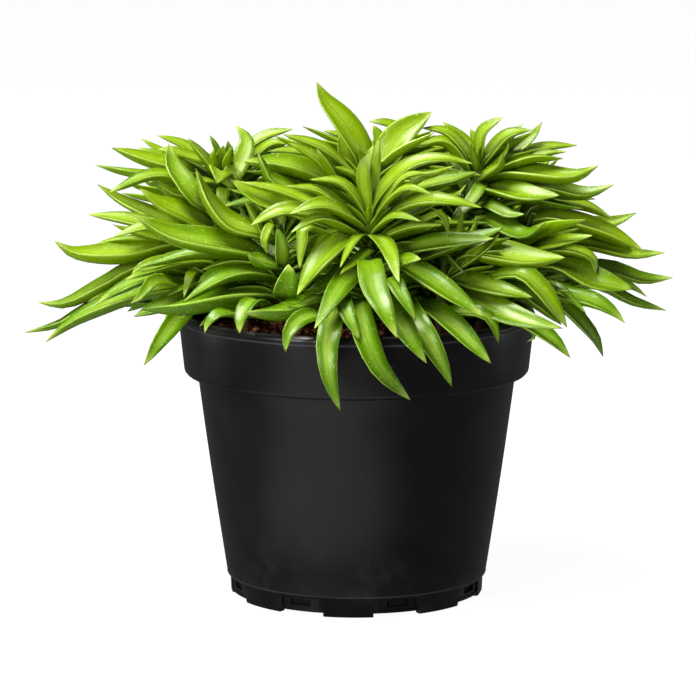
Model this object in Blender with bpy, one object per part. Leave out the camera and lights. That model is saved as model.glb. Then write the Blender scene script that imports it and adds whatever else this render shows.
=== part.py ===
"""Potted happy bean peperomia: a nursery pot, its soil and a dome of leafy stems.

Lengths are in millimetres and are scaled to metres when a mesh is made. +Z is up, +X is to
the right and the front of the plant faces -Y. The origin is the middle of the pot's foot.
"""

import math
import random

import bmesh
import bpy
from mathutils import Matrix, Vector
from mathutils.bvhtree import BVHTree

MM = 0.001

# Pot
POT_SIDES = 36
RIM_RADIUS = 60.0
RIM_TOP = 96.5
BAND_LOW = 75.5
BODY_TOP_RADIUS = 53.4
FOOT_RADIUS = 42.6
FOOT_LINE = 6.6
FLOOR = 3.0
FLOOR_UNDERSIDE = 1.0
NOTCH_TOP = 1.5
# The inside wall as (radius, height), from the floor up to the lip.
INSIDE = ((41.3, FLOOR), (42.6, 8.2), (52.1, 74.0), (56.8, 78.1), (57.1, 95.6))
FOOT_COUNT = 8
FOOT_STEP = 2 * math.pi / FOOT_COUNT
FOOT_TURN = math.radians(-3.75)
NOTCH_HALF = math.radians(11.25)
RECESS_HALF = math.radians(9.0)
SLOT_HALF = math.radians(5.0)
DRAIN_RADIUS = 3.5
DRAIN_REACH = 22.0
DRAIN_COUNT = 5

# Soil
SOIL_SIDES = 28
SOIL_TOP = 91.0
SOIL_EDGE_DROP = 2.0
SOIL_RELIEF = 0.9
SOIL_SHIFT = 1.6
GAP = 0.3
HOLE_RADIUS = 2.7
HOLE_FLOOR = 78.0

# Stems and leaves
STEM_SIDES = 6
STEM_RADIUS = 2.0
STEM_TIP_RADIUS = 1.3
STEM_RINGS = 5
LEAF_RINGS = 4
SHORT_LEAF = 30.0
SHORT_LEAF_RINGS = 3
ROOT_SHARE = 0.34
WING_LIFT = 0.3
KEEL_DROP = 0.42
LEAST_KEEL = 0.45
SEEN_SHARE = 0.87
SEEN_PEAK = 0.32
RULE_PEAK = 0.4
MOST_PEAK = 0.68
CLEARANCE = 0.5
WELD = 0.01
GOLDEN_ANGLE = math.radians(137.508)
SEED = 7

# Leaves are laid out as they look from a point in front of the plant: a pair (x, z) is where
# a leaf's spine is seen on the upright plane through the pot's axis, and its depth is the
# y of its tip. The leaf keeps its look from there at whatever depth it finds room.
VIEW_DISTANCE = 1261.5
VIEW_HEIGHT = 298.9
FRONT = Vector((0, -1, 0))
UP = Vector((0, 0, 1))
DEPTH_TRIES = (0, -3, 3, -6, 6, -9, 9, -12, 12, -16, 16, -20, 20, -25, 25, -30, 30)
TURN_TRIES = (0, 8, -8, 16, -16, 24, -24, 34, -34)
RISE_TRIES = (0, 10, -10, 20, -20)
LENGTH_TRIES = (1, 0.8, 0.65)
# The plant's outline as seen from there, inside the tips of its own leaves. The leaves that
# grow by rule stay within it, or behind the pot.
SEEN_OUTLINE = (
    (-62, 90), (-72, 97), (-96, 97), (-92, 102), (-82, 109), (-80, 121), (-82, 129), (-78, 141),
    (-73, 149), (-48, 150), (-36, 155), (-5, 156), (14, 158), (40, 156), (59, 156), (61, 152),
    (69, 150), (67, 145), (74, 138), (79, 132), (84, 123), (90, 116), (90, 111), (92, 102),
    (76, 96), (60, 88),
)

# Every stem: where it leaves the soil, its crown as seen, the crown's depth, its own leaves as
# (width, depth of the tip, seen points from the tip inwards, with a depth where the leaf hangs
# over the rim), and how many more grow by rule, over which arc of bearings (degrees
# anticlockwise from +X, seen from above), and from how far down the crown on (0 to 1).
STEMS = {
    "stem_front": {
        "foot": (5, -27),
        "crown": (4, 125),
        "depth": -34,
        "leaves": (
            (7.3, -75, (13.7, 86.5), (9.3, 96, -70), (6, 103.1, -62), (4.4, 112.5, -49)),
            (7.8, -56, (-20, 101), (-11.4, 113), (-3.4, 120.2)),
            (6.8, -72, (-14.2, 89.5), (-6.4, 102), (1.7, 111.3)),
            (5, -64, (14.4, 105), (10.6, 116.8), (5.2, 121.4)),
            (7.4, -70, (23.7, 77.6), (19.5, 84, -68.5), (14.5, 92, -62), (10.5, 99, -46)),
            (7.3, -58, (42.4, 93.8), (26, 105), (15, 111)),
            (6.2, -66, (-5.3, 61.2), (-9, 72, -67), (-10, 82, -65), (-8.8, 90, -60), (-6, 96, -47)),
            (7.2, -62, (18.1, 65.2), (12.5, 70.5, -66), (7.4, 76.5, -68), (3.9, 84, -66), (1.6, 91, -60.5), (0.5, 99, -49)),
            (6.4, -61, (32.3, 69.6), (29.5, 76, -62), (25.5, 83.5, -61.5), (20.5, 91, -57), (14, 99, -43)),
            (6, -46, (42, 130.7), (30, 133), (18, 132), (6, 124)),
            (4.8, -38, (39, 145.5), (28, 147.3), (16, 144), (5.5, 132)),
            (3.8, -42, (25, 142.4), (15, 140.5), (7, 128.5)),
            (4.2, -35, (5.5, 151.8), (2.4, 142.6), (3.6, 133.3)),
            (3.8, -29, (7.4, 154.2), (6, 142.6), (5.5, 135)),
            (3.8, -38, (-16, 140.2), (-4.8, 138.7), (2.8, 129)),
            (5, -40, (-24, 138), (-12, 136), (0, 126)),
            (5.3, -46, (-22.4, 128.6), (-11, 131.5), (1.5, 124.5)),
            (4.5, -42, (-35.6, 124.6), (-25, 129.5), (-13, 128)),
            (4.5, -50, (-22.1, 122.1), (-12, 127), (0, 121.5)),
            (6.5, -28, (-42, 140), (-33.7, 134.3), (-25, 130.8)),
            (4, -30, (-38.6, 139.2), (-26, 136.2), (-16, 132.3)),
            (3.5, -50, (21.7, 126), (12.5, 128), (6, 123)),
            (3, -45, (25.6, 134.9), (16.6, 137.4), (9.7, 132.1)),
            (3.5, -47, (29, 124.8), (18, 124), (9, 120.5)),
            (3, -34, (32.4, 144.7), (26, 141.8), (20, 139.5)),
            (5.3, -42, (46, 120.3), (27, 118.5), (14, 115)),
            (5.2, -34, (49.3, 124), (42, 120.5), (34, 118)),
            (5.5, -56, (21.7, 113.3), (18, 113.2), (14, 112)),
            (3, -46, (-17.3, 116.3), (-10.6, 120.6), (-5, 122)),
            (3.8, -44, (-19, 109.8), (-17.5, 119.5), (-15.5, 123.8)),
            (3, -50, (-16, 103), (-8, 107.5), (-5, 111)),
            (2.8, -58, (-5.5, 110.2), (-1.4, 118.6), (2.1, 121.7)),
            (3.2, -60, (-5.5, 108.2), (2, 114.8), (5.1, 116.4)),
            (4.5, -73, (20, 92.5), (14.4, 102, -66), (11.3, 106.7, -58)),
            (5, -71, (1.1, 85.6), (-2.6, 93, -66), (-4.5, 100.2, -56)),
            (6.2, -62, (45.4, 77.4), (30.7, 92.1), (21.5, 96.8)),
            (4, -46, (47.7, 84.4), (45, 91.9), (38, 95)),
            (8.4, -58, (-38.1, 95.1), (-24.6, 95), (-13.4, 98.5)),
            (4.8, -64, (-24, 81.2), (-22.7, 88.6), (-15.4, 93.7)),
            (3, -46, (-26, 116.3), (-17, 118.5), (-8, 119)),
        ),
        "rule": (6, 30, 150, 0.35),
    },
    "stem_front_left": {
        "foot": (-22, -28),
        "crown": (-27, 125),
        "depth": -30,
        "leaves": (
            (9.6, -40, (-74.3, 128.3), (-64, 121.5), (-50, 118), (-34, 115)),
            (10, -52, (-72.5, 96.2), (-58, 96.5), (-42, 100), (-27, 101)),
            (8.4, -34, (-53.6, 144), (-50.2, 134), (-43, 125), (-32, 122)),
            (6.8, -44, (-58.4, 98.5), (-42, 107.5), (-28, 107)),
            (7.2, -50, (-36.8, 115.4), (-33.5, 112.6), (-28, 111.8)),
            (6.5, -46, (-22.9, 111.6), (-22.9, 107, -47.5), (-24, 101.8, -46)),
            (3.5, -38, (-37.7, 133.7), (-32.9, 124.7), (-30.6, 120.4)),
            (3, -42, (-53, 105.1), (-50.5, 107.5), (-44, 109)),
            (5, -58, (-39.3, 87.9), (-38.3, 94), (-34, 99)),
        ),
        "rule": (10, 80, 185, 0.35),
    },
    "stem_front_right": {
        "foot": (27, -24),
        "crown": (30, 115),
        "depth": -22,
        "leaves": (
            (9.2, -30, (70.2, 113.7), (57, 112.3), (38, 115)),
            (8, -50, (69.6, 89.7), (58.7, 91.8), (47.8, 95.2), (39.5, 100), (30, 106)),
            (5.6, -34, (70.8, 89.8), (66, 97), (60.5, 104), (52, 108.5)),
            (3.8, -34, (48, 122), (44, 117.5), (34, 110)),
            (6.8, -42, (59.5, 100.2), (50, 102.2), (41, 104.4), (33, 106.5)),
            (5.4, -46, (72, 79.5), (64, 87), (50, 94)),
            (6, -28, (69, 91), (60, 98.5), (50, 103)),
        ),
        "rule": (10, 50, 150, 0.3),
    },
    "stem_centre": {
        "foot": (2, -5),
        "crown": (3, 141),
        "depth": -9,
        "leaves": (
            (8, -4, (-13.5, 173), (-10.9, 167), (-5, 160), (0.2, 152), (2.3, 147)),
            (8.7, -2, (25.1, 163), (14.3, 154.2), (8, 142)),
            (5, 2, (-6, 156), (-4, 150), (-1, 142)),
            (8.2, -17, (-38, 146.4), (-23, 144), (-12, 140.5)),
            (5, -16, (-24.5, 155.4), (-12.5, 151.2), (-4, 144.5)),
            (4.3, -20, (-23, 152.5), (-14, 147.5), (-8, 141)),
            (4.3, -18, (-13.3, 150.5), (-9, 143), (-6.5, 140)),
            (5.8, -27, (-33.1, 149.7), (-30.5, 143.5), (-26, 138.5)),
            (3.8, -22, (-7.5, 144.4), (-1, 141.5), (1, 138.5)),
            (4, -22, (-46, 130.8), (-42, 131.3), (-30, 132)),
            (6, -22, (40.3, 142.7), (33, 140), (20, 137)),
        ),
        "rule": (12, 0, 360, 0),
    },
    "stem_left": {
        "foot": (-38, -4),
        "crown": (-54, 116),
        "depth": 0,
        "leaves": (
            (8.8, -12, (-101.2, 119.7), (-94, 114.8), (-78, 114.2), (-62, 118)),
            (7.4, -24, (-105, 84.8), (-90.7, 94.3), (-62, 103.5)),
            (6.8, -14, (-107, 98.7), (-98, 97.9), (-84.8, 104), (-70, 111)),
            (7, -34, (-77.6, 106.3), (-60, 112.3), (-48, 111.5)),
            (5.4, 4, (-90, 128.4), (-75.3, 126.3), (-62, 122)),
            (5.5, 10, (-86.7, 138.4), (-78, 132.6), (-60, 124)),
            (7.8, -16, (-72.6, 137.2), (-66, 132), (-57.5, 128.4), (-49, 123)),
            (4.5, -16, (-81.4, 120.8), (-67.7, 124.7), (-54, 121)),
            (3.5, -8, (-112.2, 88.2), (-99.3, 91.3), (-84, 98)),
            (5.4, -30, (-87.3, 98), (-79.3, 102.8), (-66, 107)),
            (6.8, -34, (-75, 93.6), (-62, 98.5), (-52, 102)),
            (5.2, -44, (-71.6, 77), (-64.8, 87.3), (-55, 97)),
            (3, -4, (-89, 117.3), (-80, 119.5), (-66, 119)),
            (3, -22, (-75.5, 107.8), (-71.7, 111), (-60, 113)),
            (3, -8, (-81.7, 124.9), (-74, 122), (-62, 119)),
            (3, -40, (-58, 100), (-56.8, 104), (-54, 109)),
        ),
        "rule": (12, 60, 200, 0.15),
    },
    "stem_right": {
        "foot": (41, -5),
        "crown": (56, 119),
        "depth": 2,
        "leaves": (
            (6.6, -10, (96.5, 115.8), (91, 118.6), (81, 123), (62, 127)),
            (7.8, -20, (93, 102.9), (80, 105.5), (66, 111)),
            (5.5, 6, (106.3, 107.1), (96, 106.2), (78, 110)),
            (4.8, 2, (103.4, 115.6), (92, 114.7), (71, 118)),
            (4.5, 0, (104.3, 95.8), (93, 98.5), (76, 105)),
            (7, -26, (90.4, 91.4), (86, 95.2), (79, 98.8), (69, 101), (60, 104)),
            (5.2, -32, (83, 79.8), (78, 89), (63, 101)),
            (6.2, 4, (86, 126.8), (74, 131.8), (58, 131)),
            (4.6, 10, (93.6, 129), (85, 125.3), (68, 123)),
            (5, -22, (79, 121.2), (69, 119.2), (58, 116.5)),
            (4.8, -24, (80.1, 108.2), (78, 114), (66, 116)),
            (3.5, -14, (74.2, 123.7), (66, 120.8), (58, 118)),
            (3.5, -8, (97.6, 100.3), (90, 105), (74, 109)),
        ),
        "rule": (12, -10, 120, 0.3),
    },
    "stem_left_upper": {
        "foot": (-26, 10),
        "crown": (-45, 143),
        "depth": 10,
        "leaves": (
            (6.3, 4, (-81.8, 150.7), (-70, 146.5), (-56, 142.5)),
            (4, 10, (-87.4, 144.9), (-76, 142.3), (-60, 140)),
            (3.8, 10, (-66.5, 155), (-57, 151.3), (-49, 145)),
            (6.2, 0, (-62.6, 152.4), (-61.3, 144.3, -5), (-57.3, 138.3, -9), (-53, 133, -10)),
            (5.5, 0, (-69, 141.4), (-62.5, 136), (-54, 134)),
            (5.2, -6, (-83, 135.5), (-68, 141.5), (-56, 139)),
            (6, 7, (-40.2, 158.3), (-36.6, 152.5, 4), (-40, 144, -2), (-43, 139, -4)),
            (5, 2, (-56.3, 154), (-50.8, 147.5), (-47, 142)),
            (3.8, 16, (-21.3, 157), (-31, 154.2), (-39, 148)),
            (4.5, 6, (-23, 152), (-29, 152), (-38, 144)),
            (3, 16, (-72, 154), (-65, 149.5), (-53, 144)),
            (3.2, 14, (-73, 151), (-61, 146.5), (-52, 142)),
            (5, 0, (-44.5, 151.5), (-44.8, 148), (-45, 143)),
            (7, -16, (-46.5, 138.8), (-46, 141.5, -13), (-45.5, 142.6, -6)),
            (3, -10, (-57, 136), (-53, 139), (-48, 139)),
            (4, -6, (-44, 131), (-44.5, 134), (-44, 137)),
        ),
        "rule": (10, 20, 160, 0),
    },
    "stem_right_upper": {
        "foot": (27, 4),
        "crown": (41, 145),
        "depth": -2,
        "leaves": (
            (7.4, -12, (80.8, 144.7), (71, 140.5), (50, 142)),
            (7.2, -18, (68, 134.9), (57, 134.8), (43, 137)),
            (5.8, -24, (63.6, 126.3), (56, 121.3), (43, 127)),
            (5.2, -8, (86.1, 138.4), (76, 135), (58, 137.5)),
            (4.3, 8, (73.7, 151.6), (62, 150.6), (48, 145)),
            (4.2, 6, (61.9, 159.4), (57.5, 153.5), (45, 145)),
            (4.3, -6, (48.9, 161.2), (42, 156.3), (41, 148)),
            (5, -4, (58.3, 156.9), (49.9, 154.8), (43, 147)),
            (5, -8, (20.3, 151), (29.5, 152.5), (37, 144)),
            (5, -2, (21.5, 157.5), (30, 156), (36.5, 149), (38, 144)),
            (3.8, 4, (28.7, 159.6), (35.5, 153.5), (39.5, 147)),
            (4.5, -8, (69, 147.1), (58, 147), (46, 143)),
            (3, 0, (70.3, 149.5), (63, 148.5), (50, 144)),
            (5, -14, (48.5, 149), (48, 145), (42, 141)),
            (3.8, -20, (30.5, 124.5), (38, 132.5), (42, 139)),
            (3.8, -18, (56.5, 128.6), (51, 128.4), (43, 132)),
            (3.5, 4, (38, 157.5), (40, 152), (41, 147)),
        ),
        "rule": (10, 10, 170, 0),
    },
    "stem_middle": {
        "foot": (5, 15),
        "crown": (7, 147),
        "depth": 20,
        "leaves": (
            (3.4, 14, (4, 159.7), (11, 158.8), (17, 154.5)),
            (3, 12, (-18.2, 158), (-12, 155.5), (2, 149)),
            (3.4, 12, (20, 157.5), (14, 156), (8, 149)),
            (4, 16, (-19, 152), (-11, 151.5), (1, 148)),
            (3.5, 20, (-11, 156.5), (-4, 154.5), (4, 150)),
            (4, 24, (5.5, 158.5), (8, 153), (8, 149)),
            (4.5, 12, (-30, 149.5), (-20, 149.5), (-8, 147)),
            (4.5, 12, (31, 149.5), (22, 151.5), (13, 149)),
        ),
        "rule": (18, 0, 360, 0),
    },
    "stem_back_left": {
        "foot": (-34, 24),
        "crown": (-52, 130),
        "depth": 34,
        "leaves": (),
        "rule": (26, 0, 360, 0),
    },
    "stem_back_inner_left": {
        "foot": (-12, 36),
        "crown": (-16, 139),
        "depth": 48,
        "leaves": (),
        "rule": (24, 0, 360, 0),
    },
    "stem_back_inner_right": {
        "foot": (15, 36),
        "crown": (20, 138),
        "depth": 48,
        "leaves": (),
        "rule": (24, 0, 360, 0),
    },
    "stem_back_right": {
        "foot": (37, 20),
        "crown": (55, 131),
        "depth": 32,
        "leaves": (),
        "rule": (26, 0, 360, 0),
    },
}


def clear_scene():
    """Removes whatever the scene holds."""
    for old in list(bpy.data.objects):
        bpy.data.objects.remove(old)


def material(name, colour, roughness):
    """A plain Principled material."""
    made = bpy.data.materials.new(name)
    made.use_nodes = True
    shader = made.node_tree.nodes["Principled BSDF"]
    shader.inputs["Base Color"].default_value = (*colour, 1)
    shader.inputs["Roughness"].default_value = roughness
    return made


def add_object(name, bm, look):
    """An object made from a bmesh whose lengths are in millimetres."""
    bmesh.ops.scale(bm, vec=(MM, MM, MM), verts=bm.verts)
    bmesh.ops.recalc_face_normals(bm, faces=bm.faces)
    mesh = bpy.data.meshes.new(name)
    bm.to_mesh(mesh)
    bm.free()
    mesh.shade_smooth()
    mesh.set_sharp_from_angle(angle=math.radians(40))
    if look:
        mesh.materials.append(look)
    made = bpy.data.objects.new(name, mesh)
    bpy.context.scene.collection.objects.link(made)
    return made


def turned(profile, sides):
    """A solid turned about Z from (radius, height) pairs that start and end on the axis."""
    bm = bmesh.new()
    rings = []
    for radius, height in profile:
        if radius == 0:
            rings.append([bm.verts.new((0, 0, height))])
            continue
        ring = []
        for i in range(sides):
            angle = 2 * math.pi * i / sides
            ring.append(bm.verts.new((radius * math.cos(angle), radius * math.sin(angle), height)))
        rings.append(ring)
    for low, high in zip(rings, rings[1:]):
        for i in range(sides):
            j = (i + 1) % sides
            corners = [low[i % len(low)], low[j % len(low)], high[j % len(high)], high[i % len(high)]]
            bm.faces.new(list(dict.fromkeys(corners)))
    return bm


def add_sector(bm, radii, heights, middle, half):
    """A closed block between two radii and two heights, bent along an arc about Z."""
    steps = 2
    columns = []
    for i in range(steps + 1):
        angle = middle - half + 2 * half * i / steps
        way = Vector((math.cos(angle), math.sin(angle), 0))
        corners = ((radii[0], heights[0]), (radii[1], heights[0]), (radii[1], heights[1]), (radii[0], heights[1]))
        columns.append([bm.verts.new(way * radius + UP * height) for radius, height in corners])
    for a, b in zip(columns, columns[1:]):
        for k in range(4):
            bm.faces.new((a[k], a[(k + 1) % 4], b[(k + 1) % 4], b[k]))
    bm.faces.new(columns[0][::-1])
    bm.faces.new(columns[-1])


def add_cutter(name, bm, target):
    """A hidden cutter, and the Boolean on the target that uses it."""
    cutter = add_object(name, bm, None)
    cutter.hide_render = True
    cutter.display_type = "WIRE"
    cut = target.modifiers.new(name, "BOOLEAN")
    cut.operation = "DIFFERENCE"
    cut.object = cutter


def build_pot():
    """The pot: beaded lip, deep band, tapering body, and a foot with pads, slots and drain holes."""
    outside = (
        (0, FLOOR_UNDERSIDE),
        (FOOT_RADIUS - 3.8, FLOOR_UNDERSIDE),
        (FOOT_RADIUS - 3.2, 0),
        (FOOT_RADIUS - 0.8, 0),
        (FOOT_RADIUS, 0.8),
        (FOOT_RADIUS + 0.3, FOOT_LINE),
        (FOOT_RADIUS + 1.3, FOOT_LINE + 0.8),
        (BODY_TOP_RADIUS, BAND_LOW - 0.3),
        (RIM_RADIUS - 3.0, BAND_LOW),
        (RIM_RADIUS - 1.9, BAND_LOW + 1.6),
        (RIM_RADIUS, RIM_TOP - 1.3),
        (RIM_RADIUS - 0.8, RIM_TOP - 0.9),
        (RIM_RADIUS - 1.3, RIM_TOP - 0.1),
        (RIM_RADIUS - 2.4, RIM_TOP),
    )
    profile = outside + INSIDE[::-1] + ((0, FLOOR),)
    look = material("pot_black", (0.018, 0.018, 0.019), 0.42)
    pot = add_object("pot", turned(profile, POT_SIDES), look)

    foot_cuts = bmesh.new()
    for i in range(FOOT_COUNT):
        middle = -math.pi / 2 + FOOT_TURN + (i + 0.5) * FOOT_STEP
        add_sector(foot_cuts, (FOOT_RADIUS - 4.4, FOOT_RADIUS + 2), (-1, NOTCH_TOP), middle, NOTCH_HALF)
    add_cutter("cut_foot_notches", foot_cuts, pot)

    recess_cuts = bmesh.new()
    for i in range(FOOT_COUNT):
        middle = -math.pi / 2 + FOOT_TURN + (i + 0.5) * FOOT_STEP
        add_sector(recess_cuts, (FOOT_RADIUS - 0.5, FOOT_RADIUS + 2), (2.2, FOOT_LINE - 0.6), middle, RECESS_HALF)
    add_cutter("cut_foot_recesses", recess_cuts, pot)

    slot_cuts = bmesh.new()
    for i in range(FOOT_COUNT):
        middle = -math.pi / 2 + FOOT_TURN + (i + 0.5) * FOOT_STEP
        add_sector(slot_cuts, (FOOT_RADIUS - 4, FOOT_RADIUS + 1), (3.3, 5.4), middle, SLOT_HALF)
    add_cutter("cut_drain_slots", slot_cuts, pot)

    drain_cuts = bmesh.new()
    for i in range(DRAIN_COUNT):
        angle = 2 * math.pi * i / DRAIN_COUNT
        place = Matrix.Translation((DRAIN_REACH * math.cos(angle), DRAIN_REACH * math.sin(angle), FLOOR))
        bmesh.ops.create_cone(
            drain_cuts, cap_ends=True, segments=8, radius1=DRAIN_RADIUS, radius2=DRAIN_RADIUS, depth=8, matrix=place)
    add_cutter("cut_drain_holes", drain_cuts, pot)
    return pot


def build_soil():
    """The soil: it fills the pot, with a low mound of crumbs on top and a plain hole for each stem."""
    rng = random.Random(SEED)
    flats = math.cos(math.pi / POT_SIDES)
    side = [(radius * flats - GAP, height + GAP) for radius, height in INSIDE[:-1]]
    edge = side[-1][0]
    crumbs = [(reach, SOIL_TOP - SOIL_EDGE_DROP * (reach / edge) ** 2) for reach in (edge, 49, 40, 30, 20, 10)]
    bm = turned([(0, FLOOR + GAP)] + side + crumbs + [(0, SOIL_TOP)], SOIL_SIDES)
    for vert in bm.verts:
        if vert.co.z < SOIL_TOP - SOIL_EDGE_DROP - 1:
            continue
        vert.co.z += SOIL_RELIEF * rng.uniform(-1, 1)
        if vert.co.xy.length < edge - 1:
            vert.co.x += SOIL_SHIFT * rng.uniform(-1, 1)
            vert.co.y += SOIL_SHIFT * rng.uniform(-1, 1)
    soil = add_object("soil", bm, material("soil_peat", (0.16, 0.05, 0.02), 0.95))
    holes = bmesh.new()
    for stem in STEMS.values():
        place = Matrix.Translation((*stem["foot"], HOLE_FLOOR + 10))
        bmesh.ops.create_cone(
            holes, cap_ends=True, segments=8, radius1=HOLE_RADIUS, radius2=HOLE_RADIUS, depth=20, matrix=place)
    add_cutter("cut_stem_holes", holes, soil)
    return soil


def seen(x, z, depth):
    """The place at this depth that is seen at (x, z) on the upright plane through the axis."""
    reach = (VIEW_DISTANCE + depth) / VIEW_DISTANCE
    return Vector((x * reach, depth, VIEW_HEIGHT + (z - VIEW_HEIGHT) * reach))


def smooth_through(points, count):
    """Evenly spaced places along a smooth curve through the points."""
    fine = []
    for i in range(len(points) - 1):
        a, b = points[i], points[i + 1]
        before = points[i - 1] if i else a * 2 - b
        after = points[i + 2] if i + 2 < len(points) else b * 2 - a
        for k in range(8):
            t = k / 8
            fine.append(0.5 * (
                2 * a + (b - before) * t + (2 * before - 5 * a + 4 * b - after) * t ** 2
                + (3 * a - before - 3 * b + after) * t ** 3))
    fine.append(points[-1].copy())
    lengths = [0.0]
    for a, b in zip(fine, fine[1:]):
        lengths.append(lengths[-1] + (b - a).length)
    places = []
    at = 0
    for k in range(count):
        goal = lengths[-1] * k / (count - 1)
        while at < len(fine) - 2 and lengths[at + 1] < goal:
            at += 1
        share = (goal - lengths[at]) / max(lengths[at + 1] - lengths[at], 1e-9)
        places.append(fine[at].lerp(fine[at + 1], share))
    return places


def stem_spine(stem):
    """The stem's middle line, from the bottom of its hole to its crown."""
    x, y = stem["foot"]
    crown = seen(*stem["crown"], stem["depth"])
    bottom = Vector((x, y, HOLE_FLOOR + GAP))
    buried = Vector((x, y, SOIL_TOP - 4))
    leaving = Vector((x, y, SOIL_TOP + 2))
    bend = leaving.lerp(crown, 0.5) + UP * 3
    return smooth_through([bottom, buried, leaving, bend, crown], 25)


def on_spine(spine, height):
    """The place on a stem's middle line at this height."""
    for a, b in zip(spine, spine[1:]):
        if b.z >= height:
            return a.lerp(b, (height - a.z) / max(b.z - a.z, 1e-9))
    return spine[-1]


def leaf_outline(t, peak):
    """A leaf's half width along its length, as a share of its greatest half width, which is at the peak."""
    rise = peak / (1 - peak)
    return max((t / peak) ** rise * (1 - t) / (1 - peak), 0.24 * (1 - t))


def leaf_frames(spine, facing):
    """The direction along the leaf and the one its upper side faces, at each place but the tip."""
    headings = [(spine[i + 1] - spine[max(i - 1, 0)]).normalized() for i in range(len(spine) - 1)]
    start = min(range(len(headings)), key=lambda i: abs(headings[i].dot(facing)))
    ups = {start: (facing - headings[start] * headings[start].dot(facing)).normalized()}
    for i in list(range(start + 1, len(headings))) + list(range(start - 1, -1, -1)):
        beside = i - 1 if i > start else i + 1
        ups[i] = headings[beside].rotation_difference(headings[i]) @ ups[beside]
    return [(heading, ups[i]) for i, heading in enumerate(headings)]


def leaf_parts(spine, width, peak, facing, margin=0.0):
    """Points and faces of a folded leaf along a spine that runs from its root to its tip."""
    points = []
    last = len(spine) - 1
    for i, (along, up) in enumerate(leaf_frames(spine, facing)):
        t = i / last
        middle = spine[i]
        side = along.cross(up)
        half = width / 2 * leaf_outline(t, peak) + margin
        lift = WING_LIFT * half + margin
        keel = KEEL_DROP * half + LEAST_KEEL + margin
        points += [
            middle - side * half + up * lift,
            middle + side * half + up * lift,
            middle - up * keel,
        ]
    tip_along = (spine[-1] - spine[-2]).normalized()
    points.append(spine[-1] + tip_along * margin)
    faces = [(0, 1, 2)]
    for i in range(last - 1):
        for k in range(3):
            a, b = 3 * i + k, 3 * i + (k + 1) % 3
            faces += [(a, b, b + 3), (a, b + 3, a + 3)]
    end = 3 * (last - 1)
    for k in range(3):
        faces.append((end + k, end + (k + 1) % 3, end + 3))
    return points, faces


class Leaf:
    """A leaf's spine, width and facing, with the trees that tell whether it is clear of others."""

    def __init__(self, node, control, width, facing, peak):
        self.node = node
        length = sum((b - a).length for a, b in zip(control, control[1:]))
        rings = SHORT_LEAF_RINGS if length < SHORT_LEAF else LEAF_RINGS
        self.spine = smooth_through(control, rings + 1)
        self.width = width
        self.facing = facing
        self.peak = peak
        self.grown = self.tree(CLEARANCE, 0)
        self.grown_outer = self.tree(CLEARANCE, 1)
        self.whole = self.tree(0, 0)
        self.outer = self.tree(0, 1)
        self.low, self.high = box_of(self.spine, width)

    def tree(self, margin, skip):
        points, faces = leaf_parts(self.spine, self.width, self.peak, self.facing, margin)
        if skip:
            first = math.ceil(ROOT_SHARE * (len(self.spine) - 1)) * 3
            faces = [face for face in faces if min(face) >= first]
        return BVHTree.FromPolygons(points, faces)

    def near(self, other):
        return all(self.low[k] <= other.high[k] and other.low[k] <= self.high[k] for k in range(3))

    def clear_of(self, others, own_too):
        """Whether it is clear of the other stems' leaves, and of its own stem's outer leaves if asked."""
        for other in others:
            if not self.near(other):
                continue
            if other.node != self.node:
                if self.grown.overlap(other.whole):
                    return False
            elif own_too and self.grown_outer.overlap(other.outer):
                return False
        return True


class Obstacle:
    """The pot, the soil or a stem, as something that leaves keep clear of."""

    def __init__(self, node, points, faces):
        self.node = node
        self.whole = BVHTree.FromPolygons(points, faces)
        self.outer = self.whole
        self.low, self.high = box_of(points, 0)


def box_of(points, width):
    """The corners of a box round the points, grown by a leaf's width."""
    grow = width + 1
    low = [min(p[k] for p in points) - grow for k in range(3)]
    high = [max(p[k] for p in points) + grow for k in range(3)]
    return low, high


def mesh_obstacle(node, made):
    """An obstacle from an object, in millimetres, with its modifiers."""
    shape = made.evaluated_get(bpy.context.evaluated_depsgraph_get()).to_mesh()
    points = [vert.co / MM for vert in shape.vertices]
    faces = [tuple(face.vertices) for face in shape.polygons]
    return Obstacle(node, points, faces)


def stem_parts(spine):
    """Points and faces of a stem, a tube that narrows to its crown."""
    bared = SOIL_TOP + 2
    rise = (spine[-1].z - bared) / (STEM_RINGS - 2)
    places = [spine[0]] + [on_spine(spine, bared + rise * i) for i in range(STEM_RINGS - 1)]
    points = []
    for i, middle in enumerate(places):
        along = (places[min(i + 1, STEM_RINGS - 1)] - places[max(i - 1, 0)]).normalized()
        across = along.cross(FRONT).normalized()
        other = along.cross(across)
        radius = STEM_RADIUS + (STEM_TIP_RADIUS - STEM_RADIUS) * i / (STEM_RINGS - 1)
        for k in range(STEM_SIDES):
            angle = 2 * math.pi * k / STEM_SIDES
            points.append(middle + across * radius * math.cos(angle) + other * radius * math.sin(angle))
    faces = [tuple(range(STEM_SIDES))[::-1]]
    for i in range(STEM_RINGS - 1):
        for k in range(STEM_SIDES):
            j = (k + 1) % STEM_SIDES
            low = STEM_SIDES * i
            faces.append((low + k, low + j, low + STEM_SIDES + j, low + STEM_SIDES + k))
    faces.append(tuple(range(STEM_SIDES * (STEM_RINGS - 1), STEM_SIDES * STEM_RINGS)))
    return points, faces


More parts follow.
